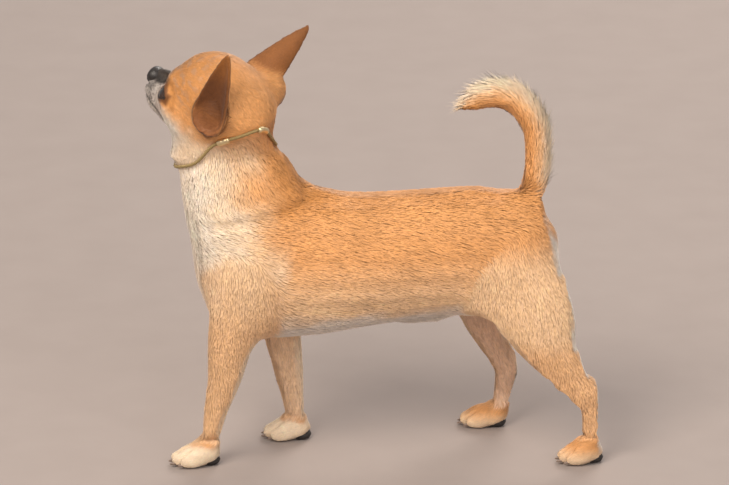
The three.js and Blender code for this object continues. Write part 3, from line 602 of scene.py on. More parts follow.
class Surface:
    """A material in the making: one surface shader, and the patterns that the finishes share."""

    def __init__(self, name: str, settings: dict) -> None:
        """Starts the material.

        Args:
            name: What the material is and how its surface was made.
            settings: Values of the shader's own inputs.
        """
        self.material = bpy.data.materials.new(name)
        self.material.use_nodes = True
        self.tree = self.material.node_tree
        self.tree.nodes.clear()
        self.shader = add_node(self.tree, "ShaderNodeBsdfPrincipled", settings)
        add_node(self.tree, "ShaderNodeOutputMaterial", links={"Surface": self.shader.outputs[0]})

    def pattern(self, kind: str, wide_mm: float, output: str, settings: dict) -> bpy.types.NodeSocket:
        """Adds a pattern that is fixed to the piece.

        Args:
            kind: Node type of the pattern.
            wide_mm: Rough width of one wave or cell.
            output: Which of the node's outputs is wanted.
            settings: Values of the node's other inputs.

        Returns:
            The wanted output.
        """
        place = add_node(self.tree, "ShaderNodeTexCoord")
        node = add_node(self.tree, kind, {"Scale": 1 / (wide_mm * MM), **settings},
                        {"Vector": place.outputs["Object"]})
        return node.outputs[output]

    def noise(self, wide_mm: float, **settings: float) -> bpy.types.NodeSocket:
        """Returns a soft noise with waves of about the given width."""
        return self.pattern("ShaderNodeTexNoise", wide_mm, "Fac", settings)

    def stretched(self, source: bpy.types.NodeSocket, low: float, high: float) -> bpy.types.NodeSocket:
        """Returns a pattern with its 0 and 1 moved to two other numbers."""
        settings = {"To Min": low, "To Max": high}
        return add_node(self.tree, "ShaderNodeMapRange", settings, {"Value": source}).outputs[0]

    def feed(self, name: str, source: bpy.types.NodeSocket) -> None:
        """Links a pattern to one of the shader's inputs."""
        self.tree.links.new(source, self.shader.inputs[name])

    def between(self, source: bpy.types.NodeSocket, colours: tuple[str, str]) -> None:
        """Colours the surface from one hex colour to another along a pattern."""
        settings = {"data_type": "RGBA", 6: linear(colours[0]), 7: linear(colours[1])}
        self.feed("Base Color", add_node(self.tree, "ShaderNodeMix", settings, {0: source}).outputs[2])

    def marked(self, source: bpy.types.NodeSocket) -> None:
        """Colours the surface with the body's markings, made lighter and darker by a pattern."""
        markings = add_node(self.tree, "ShaderNodeAttribute", {"attribute_name": "markings"})
        settings = {"data_type": "RGBA", "blend_type": "MULTIPLY", 0: 1.0}
        shade = add_node(self.tree, "ShaderNodeMix", settings, {6: markings.outputs["Color"], 7: source})
        self.feed("Base Color", shade.outputs[2])

    def raised(self, source: bpy.types.NodeSocket, strength: float, high_mm: float,
               inward: bool = False) -> None:
        """Raises the surface along a pattern, or presses it in."""
        settings = {"Strength": strength, "Distance": high_mm * MM, "invert": inward}
        self.feed("Normal", add_node(self.tree, "ShaderNodeBump", settings, {"Height": source}).outputs[0])


@dataclass(frozen=True)
class HideFinish:
    """Close-haired hide: the shortest hair, seen as a fine bump and a flicker of light and dark."""

    name: str = "Close-haired hide, combed flat"
    wave_mm: float = 1.4
    flicker: tuple[float, float] = (0.72, 1.22)
    hair_high_mm: float = 0.4

    def material(self) -> bpy.types.Material:
        """Returns the hide's material, which takes its colour from the markings."""
        surface = Surface(self.name, {
            "Roughness": 0.62, "Specular IOR Level": 0.25, "Sheen Weight": 0.12, "Sheen Roughness": 0.5,
        })
        hair = surface.noise(self.wave_mm, Detail=3.0, Roughness=0.65)
        surface.marked(surface.stretched(hair, *self.flicker))
        surface.raised(hair, 0.5, self.hair_high_mm)
        return surface.material


@dataclass(frozen=True)
class HairFinish:
    """Dog hair in small locks: soft gloss along each lock, and a slight flicker from lock to lock."""

    name: str = "Smooth dog hair in small locks"
    streak_mm: float = 2.5
    flicker: tuple[float, float] = (0.86, 1.12)

    def material(self) -> bpy.types.Material:
        """Returns the coat's material, which takes its colour from the markings."""
        surface = Surface(self.name, {
            "Roughness": 0.5, "Specular IOR Level": 0.32, "Sheen Weight": 0.18, "Sheen Roughness": 0.45,
        })
        surface.marked(surface.stretched(surface.noise(self.streak_mm, Detail=2.0), *self.flicker))
        return surface.material


@dataclass(frozen=True)
class LeatherFinish:
    """Bare hairless leather of nose and pads: tiny domed cells with a painted highlight toward their
    borders, moist on the nose and dry on the pads.
    """

    name: str
    colour: str
    grain_mm: float
    roughness: float
    cell_highlight: str = "#302a28"
    cell_high_mm: float = 0.25

    def material(self) -> bpy.types.Material:
        """Returns the leather's material."""
        surface = Surface(self.name, {
            "Roughness": self.roughness, "Specular IOR Level": 0.5, "Coat Weight": 0.1,
            "Coat Roughness": 0.3,
        })
        cells = surface.pattern("ShaderNodeTexVoronoi", self.grain_mm, "Distance", {})
        # Painted highlight: each cell turns paler toward its border.
        surface.between(cells, (self.colour, self.cell_highlight))
        surface.raised(cells, 0.7, self.cell_high_mm, True)
        return surface.material


@dataclass(frozen=True)
class EyeFinish:
    """A living eye: black pupil, dark brown iris with radial threads, dark rim, and a wet clear front."""

    name: str = "Wet eye with a dark brown iris"
    thread_mm: float = 0.6
    wander: float = 0.05
    rings: tuple[tuple[float, str], ...] = (
        (0.0, "#050404"), (0.22, "#050404"), (0.26, "#22110a"), (0.5, "#38200f"), (0.62, "#150c08"),
        (0.7, "#1b1411"), (0.95, "#8d7f76"),
    )

    def material(self) -> bpy.types.Material:
        """Returns the eye's material, which follows the angle from the pupil's middle."""
        surface = Surface(self.name, {
            "Roughness": 0.12, "Coat Weight": 1.0, "Coat Roughness": 0.02, "Coat IOR": 1.38,
        })
        tree = surface.tree
        angle = add_node(tree, "ShaderNodeAttribute", {"attribute_name": "from_pupil"})
        threads = surface.noise(self.thread_mm, Detail=2.0)
        wandering = add_node(tree, "ShaderNodeMath", {"operation": "MULTIPLY_ADD", 1: self.wander},
                             {0: threads, 2: angle.outputs["Fac"]})
        ramp = add_node(tree, "ShaderNodeValToRGB", links={"Fac": wandering.outputs[0]})
        stops = ramp.color_ramp.elements
        for position, code in self.rings[1:-1]:
            stops.new(position).color = linear(code)
        stops[0].color = linear(self.rings[0][1])
        stops[-1].position, stops[-1].color = self.rings[-1][0], linear(self.rings[-1][1])
        surface.feed("Base Color", ramp.outputs[0])
        return surface.material


@dataclass(frozen=True)
class HornFinish:
    """Horn of the claws: brown-black, paler toward the quick, rubbed smooth with fine lines."""

    name: str = "Worn dark horn"
    colours: tuple[str, str] = ("#4a3b33", "#a58f80")
    line_mm: float = 0.9

    def material(self) -> bpy.types.Material:
        """Returns the claws' material."""
        surface = Surface(self.name, {"Roughness": 0.38, "Specular IOR Level": 0.5})
        lines = surface.noise(self.line_mm, Detail=3.0)
        surface.between(lines, self.colours)
        surface.raised(lines, 0.3, 0.2)
        return surface.material


@dataclass(frozen=True)
class CordFinish:
    """Round braided cord: olive and gold strands crossing on the slant, each a soft ridge."""

    name: str = "Braided metallic cord"
    colours: tuple[str, str] = ("#57482a", "#c9ad74")
    slant: float = 32.0
    strands: float = 3.2
    strand_high_mm: float = 0.3

    def material(self) -> bpy.types.Material:
        """Returns the cord's material, which follows the cord by its own map."""
        surface = Surface(self.name, {"Roughness": 0.45, "Specular IOR Level": 0.5, "Metallic": 0.25})
        tree = surface.tree
        lay = add_node(tree, "ShaderNodeUVMap", {"uv_map": "cord_map"})
        turned = add_node(tree, "ShaderNodeMapping", {"Rotation": (0, 0, math.radians(self.slant))},
                          {"Vector": lay.outputs[0]})
        settings = {"Scale": self.strands, "Distortion": 0.6, "Detail": 2.0}
        waves = add_node(tree, "ShaderNodeTexWave", settings, {"Vector": turned.outputs[0]})
        strands = waves.outputs["Fac"]
        surface.between(strands, self.colours)
        surface.raised(strands, 0.6, self.strand_high_mm)
        return surface.material


@dataclass(frozen=True)
class BrassFinish:
    """Plated brass of the collar's fittings: pale gold, rolled smooth, with small scuffs."""

    name: str = "Pale gold-plated brass, rolled"
    colours: tuple[str, str] = ("#d9bd86", "#f1e2bd")
    scuff_mm: float = 1.2
    roughness: tuple[float, float] = (0.22, 0.5)

    def material(self) -> bpy.types.Material:
        """Returns the fittings' material."""
        surface = Surface(self.name, {"Metallic": 1.0})
        scuffs = surface.noise(self.scuff_mm, Detail=4.0)
        surface.between(scuffs, self.colours)
        surface.feed("Roughness", surface.stretched(scuffs, *self.roughness))
        return surface.material


@dataclass(frozen=True)
class FloorFinish:
    """Matt painted studio floor, pale and warm grey, with the faintest roller mottle."""

    name: str = "Matt studio floor paint"
    colours: tuple[str, str] = ("#998e89", "#a09590")
    mottle_mm: float = 1000 / 24

    def material(self) -> bpy.types.Material:
        """Returns the floor's material."""
        surface = Surface(self.name, {"Roughness": 0.85, "Specular IOR Level": 0.2})
        surface.between(surface.noise(self.mottle_mm, Detail=3.0), self.colours)
        return surface.material


def read(source: bpy.types.bpy_prop_collection, field: str, kind: type, wide: int) -> np.ndarray:
    """Reads one field of all elements of a mesh.

    Args:
        source: The mesh's vertices, edges, loops or triangles, or their attribute.
        field: Name of the field.
        kind: Type of its numbers.
        wide: How many numbers one element has.

    Returns:
        One row for each element.
    """
    flat = np.empty(len(source) * wide, kind)
    source.foreach_get(field, flat)
    return flat.reshape(-1, wide)


def paint(mesh: bpy.types.Mesh, colours: np.ndarray) -> None:
    """Writes linear colours, one for each vertex, as the mesh's markings."""
    rgba = np.concatenate([colours, np.ones((*colours.shape[:-1], 1))], -1)
    attribute = mesh.attributes.new("markings", "FLOAT_COLOR", "POINT")
    attribute.data.foreach_set("color", rgba.astype(np.float32).ravel())


def linked(name: str, mesh: bpy.types.Mesh) -> bpy.types.Object:
    """Returns a new object of the scene with a finished mesh."""
    piece = bpy.data.objects.new(name, mesh)
    bpy.context.scene.collection.objects.link(piece)
    return piece


def near_tree(points: np.ndarray) -> KDTree:
    """Returns a tree that finds the nearest of some points."""
    tree = KDTree(len(points))
    for i, point in enumerate(points.tolist()):
        tree.insert(point, i)
    tree.balance()
    return tree


def surface_tree(piece: bpy.types.Object, points: np.ndarray) -> BVHTree:
    """Returns a tree that finds places on a piece whose points are given in millimetres."""
    return BVHTree.FromPolygons(points.tolist(), [tuple(face.vertices) for face in piece.data.polygons])


def placed(name: str, shape: bmesh.types.BMesh, material: bpy.types.Material) -> bpy.types.Object:
    """Makes an object of a finished shape.

    Args:
        name: Name of the piece.
        shape: Shape in metres, freed here.
        material: Finish of the whole piece.

    Returns:
        The piece, at the origin.
    """
    mesh = bpy.data.meshes.new(name)
    shape.normal_update()
    shape.to_mesh(mesh)
    shape.free()
    mesh.materials.append(material)
    mesh.shade_smooth()
    return linked(name, mesh)


def relaxed(values: np.ndarray, edges: np.ndarray, share: np.ndarray, rounds: int,
            back: float = 0.51) -> np.ndarray:
    """Evens out numbers over a mesh, along its edges.

    Args:
        values: One row for each vertex.
        edges: Pairs of vertices.
        share: How much each vertex takes part, 0 to 1.
        rounds: How many times to do it.
        back: Push back after each round, which keeps the volume. 0 for plain smoothing.

    Returns:
        The evened rows.
    """
    a, b = edges.T
    count = len(values)
    degree = np.maximum(np.bincount(edges.ravel(), minlength=count), 1)[:, None]
    share = share[:, None]
    for _ in range(rounds):
        for factor in (0.5, -back) if back else (0.5,):
            total = np.stack([np.bincount(a, values[b, k], count) + np.bincount(b, values[a, k], count)
                              for k in range(values.shape[1])], 1)
            values = values + factor * share * (total / degree - values)
    return values


@dataclass
class CoatKind:
    """The coat on one part: its depth on the skin, and the locks' length, width and number."""

    depth: float
    length: float
    width: float
    per_mm2: float
    smooth: float


COATS = {
    Part.TRUNK: CoatKind(2.3, 9.5, 0.62, 0.86, 1.0),
    Part.NECK: CoatKind(2.4, 10.0, 0.62, 0.92, 1.0),
    Part.HEAD: CoatKind(1.0, 4.6, 0.46, 1.35, 0.3),
    Part.EAR_LEFT: CoatKind(0.15, 2.8, 0.4, 1.7, 0.0),
    Part.EAR_RIGHT: CoatKind(0.15, 2.8, 0.4, 1.7, 0.0),
    Part.TAIL: CoatKind(3.0, 11.5, 0.62, 1.25, 0.8),
    Part.FORELEG: CoatKind(1.2, 6.0, 0.52, 1.0, 0.75),
    Part.HINDLEG: CoatKind(1.3, 7.0, 0.55, 0.95, 0.75),
    Part.PAW: CoatKind(0.5, 3.2, 0.4, 1.4, 0.12),
}


def by_part(field: str) -> np.ndarray:
    """Returns one number of each part's coat, in the order of the parts."""
    return np.array([getattr(COATS[part], field) for part in Part])


class Skin(Places):
    """One skin over the whole body, drawn in from the solids by the depth of the coat."""

    lid_fill = (10.8, 10.8, 10.8)
    nose_fill = 0.86
    bridge = ((46.5, 0.0, -11.3), (14.5, 7.4, 8.6))
    voxel = 1.6
    overlap = 0.35
    lid = 0.81
    pressed_eye = 1.6
    lip_deep = 0.9
    cleft_deep = 0.7
    fold_deep = 1.7
    elbow_deep = 1.1
    toes_deep = 1.9
    rounds = 55
    label_rounds = 14
    fine_eye = 16
    fine_muzzle = (38, 20, 45)

    def __init__(self) -> None:
        """Builds the skin's shape, its parts, its markings and its unwrap."""
        self.solids = self._solids()
        self.piece = self._remeshed()
        self._measure()
        self._label()
        self._even()
        self._unwrap()
        self._sculpt()
        self._paint()

    def _solids(self) -> bmesh.types.BMesh:
        """Returns the solids of flesh, slightly swollen so that they join, with their part on each face."""
        whole = bmesh.new()
        part_of = whole.faces.layers.int.new("part")
        for part, nodes in PART_NODES.items():
            for name in nodes:
                if part in EARS:
                    one = EARS[part].shape()
                else:
                    one = bmesh.new()
                    one.from_mesh(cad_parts[name].data)
                bmesh.ops.remove_doubles(one, verts=one.verts, dist=1e-6)
                one.normal_update()
                for vertex in one.verts:
                    vertex.co += vertex.normal * self.overlap * MM
                mesh = bpy.data.meshes.new("part")
                one.to_mesh(mesh)
                one.free()
                known = len(whole.faces)
                whole.from_mesh(mesh)
                bpy.data.meshes.remove(mesh)
                whole.faces.ensure_lookup_table()
                for face in whole.faces[known:]:
                    face[part_of] = part.value
        return whole

    def _remeshed(self) -> bpy.types.Object:
        """Returns one closed skin round the solids, the closed lids, the nose's root and the toes."""
        body = self.solids.copy()
        turn = Matrix(HEAD.axes().T.tolist()).to_4x4()
        fills = [(HEAD.outside(eye_at(side)), turn, self.lid_fill) for side in (1, -1)]
        fills.append((HEAD.outside(NOSE_AT), turn, tuple(self.nose_fill * r for r in NOSE_RADII)))
        fills.append((HEAD.outside(self.bridge[0]), turn, self.bridge[1]))
        for foot in FEET.values():
            yaw = Matrix.Rotation(math.radians(foot.turn), 4, "Z")
            fills += [(at, yaw, radii) for at, radii in foot.toes()]
        for at, axes, radii in fills:
            place = Matrix.Translation(Vector(at) * MM) @ axes @ Matrix.Diagonal((*radii, 1))
            bmesh.ops.create_icosphere(body, subdivisions=4, radius=MM, matrix=place)
        piece = placed("skin", body, HideFinish().material())
        remesh = piece.modifiers.new("one_skin", "REMESH")
        remesh.mode = "VOXEL"
        remesh.voxel_size = self.voxel * MM
        graph = bpy.context.evaluated_depsgraph_get()
        mesh = bpy.data.meshes.new_from_object(piece.evaluated_get(graph))
        piece.modifiers.clear()
        old, piece.data = piece.data, mesh
        bpy.data.meshes.remove(old)
        return piece

    def _measure(self) -> None:
        """Reads the skin's points, edges and normals, in millimetres."""
        mesh = self.piece.data
        self.points = read(mesh.vertices, "co", np.float32, 3).astype(float) / MM
        self.edges = read(mesh.edges, "vertices", np.int32, 2)
        self.normals = read(mesh.vertex_normals, "vector", np.float32, 3).astype(float)

    def _write(self) -> None:
        """Writes the points back to the mesh and reads the normals anew."""
        mesh = self.piece.data
        mesh.vertices.foreach_set("co", (self.points * MM).astype(np.float32).ravel())
        mesh.update()
        self.normals = read(mesh.vertex_normals, "vector", np.float32, 3).astype(float)

    def _label(self) -> None:
        """Works out the share of each part of the body at each point of the skin."""
        tree = BVHTree.FromBMesh(self.solids)
        layer = self.solids.faces.layers.int["part"]
        self.solids.faces.ensure_lookup_table()
        part_of = [face[layer] for face in self.solids.faces]
        found = [part_of[tree.find_nearest(p)[2]] for p in (self.points * MM).tolist()]
        self.weights = np.eye(len(Part))[found]
        self.solids.free()
        self.weights = relaxed(self.weights, self.edges, np.ones(len(found)), self.label_rounds, back=0)

    def _even(self) -> None:
        """Smooths out the solids' facets and draws the skin in by the coat's depth."""
        share = self.weights @ by_part("smooth") * (1 - soft(0.05, 0.4, self.of(Part.PAW)))
        behind = soft(14, -4, HEAD.inside(self.points)[:, 0]) * self.of(Part.HEAD)
        thin = self.of(*EARS)
        share = np.maximum(share, 0.8 * behind) * (1 - soft(0.15, 0.45, thin))
        share = share * (1 - 0.85 * soft(22, 12, np.linalg.norm(self.points - np.array(THROAT), axis=1)))
        self.points = relaxed(self.points, self.edges, share, self.rounds)
        self.points = relaxed(self.points, self.edges, 0.7 - 0.45 * soft(0.2, 0.7, thin), 3)
        self._write()
        direction = unit(relaxed(self.normals, self.edges, np.ones(len(share)), 3, back=0))
        depth = self.weights @ by_part("depth") + self.overlap
        h = HEAD.inside(self.points)
        muzzle = soft(26, 40, h[:, 0]) * self.of(Part.HEAD)
        depth = depth * (1 - 0.45 * muzzle)
        self.points = self.points - direction * depth[:, None]
        self._write()

    def _unwrap(self) -> None:
        """Lays the skin's own shape out flat, in the map that the coat's locks take their places from."""
        bpy.context.view_layer.objects.active = self.piece
        self.piece.select_set(True)
        bpy.ops.object.mode_set(mode="EDIT")
        bpy.ops.mesh.select_all(action="SELECT")
        bpy.ops.uv.smart_project(angle_limit=math.radians(60), island_margin=0.001)
        bpy.ops.object.mode_set(mode="OBJECT")
        self.piece.select_set(False)
        self.piece.data.uv_layers[0].name = "OFBake"

    def _sculpt(self) -> None:
        """Cuts the lids open, and presses in the mouth, the folds of the shoulder and the toes' clefts."""
        self._refine()
        h = HEAD.inside(self.points)
        n = self.normals @ HEAD.axes().T
        for side in (1, -1):
            h = self._open_lids(h, side)
        x, aside, z = h.T
        face = soft(0.3, 0.8, self.of(Part.HEAD))
        groove = line_of(z - MARKINGS.lip_height(x), 0.9) * soft(16, 24, x)
        below_nose = line_of(aside, 0.8) * soft(46, 51, x) * soft(-27, -24, z) * soft(-14, -17, z)
        h = h - n * ((self.lip_deep * groove + self.cleft_deep * below_nose) * face)[:, None]
        self.points = np.where(face[:, None] > 0.01, HEAD.outside(h), self.points)
        x, aside, z = self.points.T
        body = self.of(Part.TRUNK, Part.NECK)
        fold = line_of(z - CREASE.height(x), 5) * soft(-136, -118, x) * soft(6, -16, x)
        elbow = line_of(CREASE.behind(x, z), 7) * soft(116, 130, z) * soft(186, 160, z)
        deep = (self.fold_deep * fold + self.elbow_deep * elbow) * body * soft(8, 20, np.abs(aside))
        self.points = self.points - self.normals * (deep + self.toes_deep * self._between_toes())[:, None]
        self._write()

    def _between_toes(self) -> np.ndarray:
        """Returns how near each point is to a cleft between two toes, from 0 to 1."""
        cleft = np.zeros(len(self.points))
        for foot in FEET.values():
            ahead, aside = foot.local(self.points)
            fan = 1 + 0.02 * ahead
            for out in (-6.1, 0.0, 6.1):
                line = line_of(aside - out * fan * foot.wide / 24, 0.95) * soft(-1, 5, ahead)
                line = line * soft(30, 24, ahead) * soft(17, 12, self.points[:, 2])
                cleft = np.maximum(cleft, line)
        return cleft

    def _refine(self) -> None:
        """Doubles the mesh where the face and the feet need finer forms."""
        shape = bmesh.new()
        shape.from_mesh(self.piece.data)
        shape.verts.ensure_lookup_table()
        layers = [shape.verts.layers.float.new(part.name) for part in Part]
        for vertex, row in zip(shape.verts, self.weights.tolist()):
            for layer, value in zip(layers, row):
                vertex[layer] = value
        h = HEAD.inside(self.points)
        x, side, z = h[:, 0], np.abs(h[:, 1]), h[:, 2]
        front, wide, high = self.fine_muzzle
        fine = from_eye(h) < self.fine_eye
        fine = fine | (x > front) & (side < wide) & (np.abs(z) < high) | (self._between_toes() > 0.02)
        chosen = [edge for edge in shape.edges if all(fine[end.index] for end in edge.verts)]
        bmesh.ops.subdivide_edges(shape, edges=chosen, cuts=1, use_grid_fill=True)
        bmesh.ops.triangulate(shape, faces=[face for face in shape.faces if len(face.verts) > 4])
        shape.to_mesh(self.piece.data)
        self.weights = np.array([[vertex[layer] for layer in layers] for vertex in shape.verts])
        shape.free()
        self._measure()

    def _open_lids(self, h: np.ndarray, side: int) -> np.ndarray:
        """Opens the almond between the lids of one eye.

        Args:
            h: The skin's points in the head's axes.
            side: 1 for the left eye, -1 for the right.

        Returns:
            The moved points.
        """
        inside, near, far, d = LIDS.opening(h, side)
        open_ = soft(-1.5, 2.5, inside) * near
        rim = line_of(inside + 5, 5) * near * (far < 13)
        radius = far * (1 - rim * 0.8) + (EYE_RADIUS + self.lid) * rim * 0.8
        radius = radius * (1 - open_) + (EYE_RADIUS - self.pressed_eye) * open_
        return eye_at(side) + d * radius[:, None]

    def _paint(self) -> None:
        """Writes the markings to the skin, a little darker under a deep coat."""
        shade = 1 - 0.05 * soft(0.5, 2.2, self.weights @ by_part("depth"))
        paint(self.piece.data, MARKINGS.colours(self) * shade[:, None])

    def finish(self) -> bpy.types.Object:
        """Returns the skin as a piece that stands for all nodes of flesh."""
        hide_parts(*(name for nodes in PART_NODES.values() for name in nodes))
        self.piece.data.shade_smooth()
        return self.piece


class Coat:
    """Small solid locks of hair, three-sided and pointed, that lie along the body in a few pieces."""

    seed = 20
    most_locks = 18000
    stations = ((0.5, 1.0), (1.0, 0.8))
    swell = (0.9, 1.0)
    flatness = 0.4
    sunk = 0.35
    stand = 0.45
    flow_rounds = 12
    stray = 0.08
    clump_of = 16
    clump_reach = 3
    clump_pull = 0.1
    clump_tone = 0.035
    lock_tone = 0.06
    lock_warmth = 0.025
    root_shade = 0.9
    tip_shade = 1.08
    patch = 0.003
    lying = 0.72

    def __init__(self, skin: Skin, pressed: np.ndarray) -> None:
        """Grows the coat.

        Args:
            skin: The finished skin.
            pressed: The line along which the collar presses the hair down.
        """
        self.rng = np.random.default_rng(self.seed)
        self.skin = skin
        self.pressed = near_tree(pressed)
        self.flow = self._flow()
        self._root()
        self._shape()

    def _flow(self) -> np.ndarray:
        """Returns the direction in which the hair lies, at each point of the skin."""
        p, n = self.skin.points, self.skin.normals
        count = len(p)
        h = HEAD.inside(p)
        tail_along, tail_off = tail_place(p)[1:]
        forward, left, up = HEAD.axes()
        high, low = soft(0, 20, h[:, 2])[:, None], soft(0, -20, h[:, 2])[:, None]
        back = -forward + 0.25 * up * high - 0.35 * up * low
        back = back + (0.35 * np.sign(h[:, 1]) * soft(4, 20, np.abs(h[:, 1])))[:, None] * left
        nape = soft(-110, -70, p[:, 0])[:, None]
        lines = {
            Part.TRUNK: np.tile([1.0, 0, -0.32], (count, 1)),
            Part.NECK: np.array([0.12, 0, -1.0]) * (1 - nape) + np.array([0.75, 0, -0.75]) * nape,
            Part.HEAD: back,
            Part.EAR_LEFT: np.tile(EARS[Part.EAR_LEFT].axes()[0], (count, 1)),
            Part.EAR_RIGHT: np.tile(EARS[Part.EAR_RIGHT].axes()[0], (count, 1)),
            Part.TAIL: tail_along + 0.2 * unit(tail_off),
            Part.FORELEG: np.tile([0.12, 0, -1.0], (count, 1)),
            Part.HINDLEG: np.tile([0.3, 0, -1.0], (count, 1)),
            Part.PAW: np.tile([-0.9, 0, -0.45], (count, 1)),
        }
        flow = sum(self.skin.of(part)[:, None] * unit(line) for part, line in lines.items())
        sway = spread(p, 31, 30) * 0.12
        flow = flow + sway[:, None] * np.cross(n, flow)
        flow = unit(flow - n * dot(flow, n)[:, None])
        flow = relaxed(flow, self.skin.edges, np.ones(count), self.flow_rounds, back=0)
        return unit(flow - n * dot(flow, n)[:, None])

    def _root(self) -> None:
        """Strews the locks' roots over the skin, as dense as each part's coat is."""
        mesh = self.skin.piece.data
        mesh.calc_loop_triangles()
        corners, loops = (read(mesh.loop_triangles, field, np.int32, 3) for field in ("vertices", "loops"))
        a, b, c = (self.skin.points[corners[:, k]] for k in range(3))
        area = np.linalg.norm(np.cross(b - a, c - a), axis=1) / 2
        density = (self.skin.weights @ by_part("per_mm2") * self._bare())[corners].mean(1)
        total = np.cumsum(area * density)
        number = int(total[-1])
        chosen = np.searchsorted(total, (np.arange(number) + self.rng.random(number)) / number * total[-1])
        chosen = np.minimum(chosen, len(corners) - 1)
        s, t = self.rng.random((2, number))
        s, t = np.where(s + t > 1, 1 - s, s), np.where(s + t > 1, 1 - t, t)
        mix = np.stack([1 - s - t, s, t], 1)[..., None]
        fields = (self.skin.points, self.skin.normals, self.skin.weights, self.flow)
        place, normal, weights, lie = ((field[corners[chosen]] * mix).sum(1) for field in fields)
        self.roots = Places(place, unit(normal), weights)
        self.lie = unit(lie)
        uv = read(mesh.uv_layers["OFBake"].data, "uv", np.float32, 2)
        self.uv = (uv[loops[chosen]] * mix).sum(1)

    def _bare(self) -> np.ndarray:
        """Returns how much hair grows at each point of the skin, from none at the eyes and soles to 1."""
        p, n = self.skin.points, self.skin.normals
        h = HEAD.inside(p)
        keep = soft(9.9, 11.4, from_eye(h))
        off_nose = (h - np.array(NOSE_AT)) / np.array(NOSE_RADII)
        keep = keep * soft(1.12, 1.3, np.linalg.norm(off_nose, axis=1))
        keep = keep * (1 - soft(3, 1.5, p[:, 2]) * soft(-0.4, -0.8, n[:, 2]))
        for ear in EARS.values():
            share, edge, _ = ear.local(p)
            inner = soft(0.1, 0.5, n @ ear.axes()[2]) * soft(0.0, 0.15, share) * soft(1.0, 0.85, edge)
            keep = keep * (1 - 0.75 * inner)
        return keep

    def _lengths(self) -> tuple[np.ndarray, np.ndarray, np.ndarray, np.ndarray]:
        """Returns each lock's length, width, height over the skin and how far it stands free."""
        on = self.roots
        x, z = on.points[:, 0], on.points[:, 2]
        rear, up = on.normals[:, 0], on.normals[:, 2]
        count = len(x)
        length, width, depth = (on.weights @ by_part(name) for name in ("length", "width", "depth"))
        muzzle = soft(24, 42, HEAD.inside(on.points)[:, 0]) * on.of(Part.HEAD)
        length, width = length * (1 - 0.6 * muzzle), width * (1 - 0.3 * muzzle)
        _, along, offset = tail_place(on.points)
        outer = soft(0.2, 0.8, dot(unit(offset), np.cross([0, 1, 0], along))) * on.of(Part.TAIL)
        breast = soft(0.6, 0.95, -rear) * soft(120, 140, z) * soft(235, 215, z)
        breast = breast * soft(0.5, 1, on.of(Part.TRUNK, Part.NECK))
        breech = soft(0.55, 0.9, rear) * soft(98, 112, x) * soft(85, 110, z) * soft(196, 180, z)
        under = soft(-0.6, -0.95, up) * soft(90, 100, z) * on.of(Part.TRUNK)
        fringe = np.clip(outer * 0.9 + 0.35 * breast + 0.5 * breech + 0.3 * under, 0, 1)
        length = length * (1 + 0.75 * outer + 0.1 * breast + 0.1 * under)
        length = length * self.rng.uniform(0.72, 1.2, count)
        width = width * (1 - 0.25 * fringe) * self.rng.uniform(0.75, 1.2, count)
        rise = depth * self.rng.uniform(0.62, 0.92, count)
        close = np.array([self.pressed.find(place)[2] for place in on.points.tolist()])
        rise = rise * (0.25 + 0.75 * soft(2.5, 8, close))
        free = np.clip(0.04 + fringe * self.rng.uniform(0.2, 0.9, count), 0, 0.9)
        return length, width, rise, free

    def _clumps(self) -> tuple[np.ndarray, np.ndarray]:
        """Gathers neighbouring locks, and returns each lock's pull to its neighbours and its own tone."""
        roots = self.roots.points
        picked = self.rng.choice(len(roots), len(roots) // self.clump_of, replace=False)
        tree = near_tree(roots[picked])
        nearest = np.array([tree.find(point)[1] for point in roots.tolist()])
        pull = roots[picked][nearest] - roots
        far = np.linalg.norm(pull, axis=1, keepdims=True)
        pull = pull * np.minimum(1, self.clump_reach / np.maximum(far, 1e-6)) * self.clump_pull
        return pull, self.rng.normal(0, 1, len(picked))[nearest]

    def _shape(self) -> None:
        """Works out every lock's two rings and tip, and their colours."""
        length, width, rise, free = self._lengths()
        pull, tone = self._clumps()
        roots, normals = self.roots.points, self.roots.normals
        count = len(length)
        turn = self.rng.normal(0, self.stray, count)[:, None]
        lie = unit(self.lie + turn * np.cross(normals, self.lie))
        tree = surface_tree(self.skin.piece, self.skin.points)
        stand = unit(lie + self.stand * normals)
        spine = [roots - normals * self.sunk]
        for s, high in self.stations:
            wanted = roots + lie * (length * s)[:, None] + pull * s
            found = [tree.find_nearest(point)[:2] for point in wanted.tolist()]
            ground, facing = (np.array([tuple(one[k]) for one in found]) for k in (0, 1))
            laid = ground + facing * (rise * high)[:, None]
            loose = roots + stand * (length * s)[:, None]
            spine.append(laid * (1 - free * s)[:, None] + loose * (free * s)[:, None])
        spine = np.stack(spine, 1)
        heading = unit(np.diff(spine, axis=1))
        aside = unit(np.cross(heading, normals[:, None]))
        over = np.cross(aside, heading)
        half = (width[:, None] / 2 * np.array(self.swell))[..., None]
        line = spine[:, :2]
        rings = np.stack([line + aside * half, line + over * half * self.flatness, line - aside * half], 2)
        self.corners = np.concatenate([rings.reshape(count, 6, 3), spine[:, 2:]], 1)
        value = 1 + self.clump_tone * tone + self.rng.normal(0, self.lock_tone, count)
        warm = self.rng.normal(0, self.lock_warmth, count)
        base = MARKINGS.colours(self.roots)
        base = base * value[:, None] * np.stack([1 + warm * 0.3, np.ones(count), 1 - warm * 1.6], 1)
        shade = np.array([self.root_shade] * 3 + [1.0] * 3 + [self.tip_shade])
        self.colour = np.clip(base[:, None] * shade[None, :, None], 0, 1)

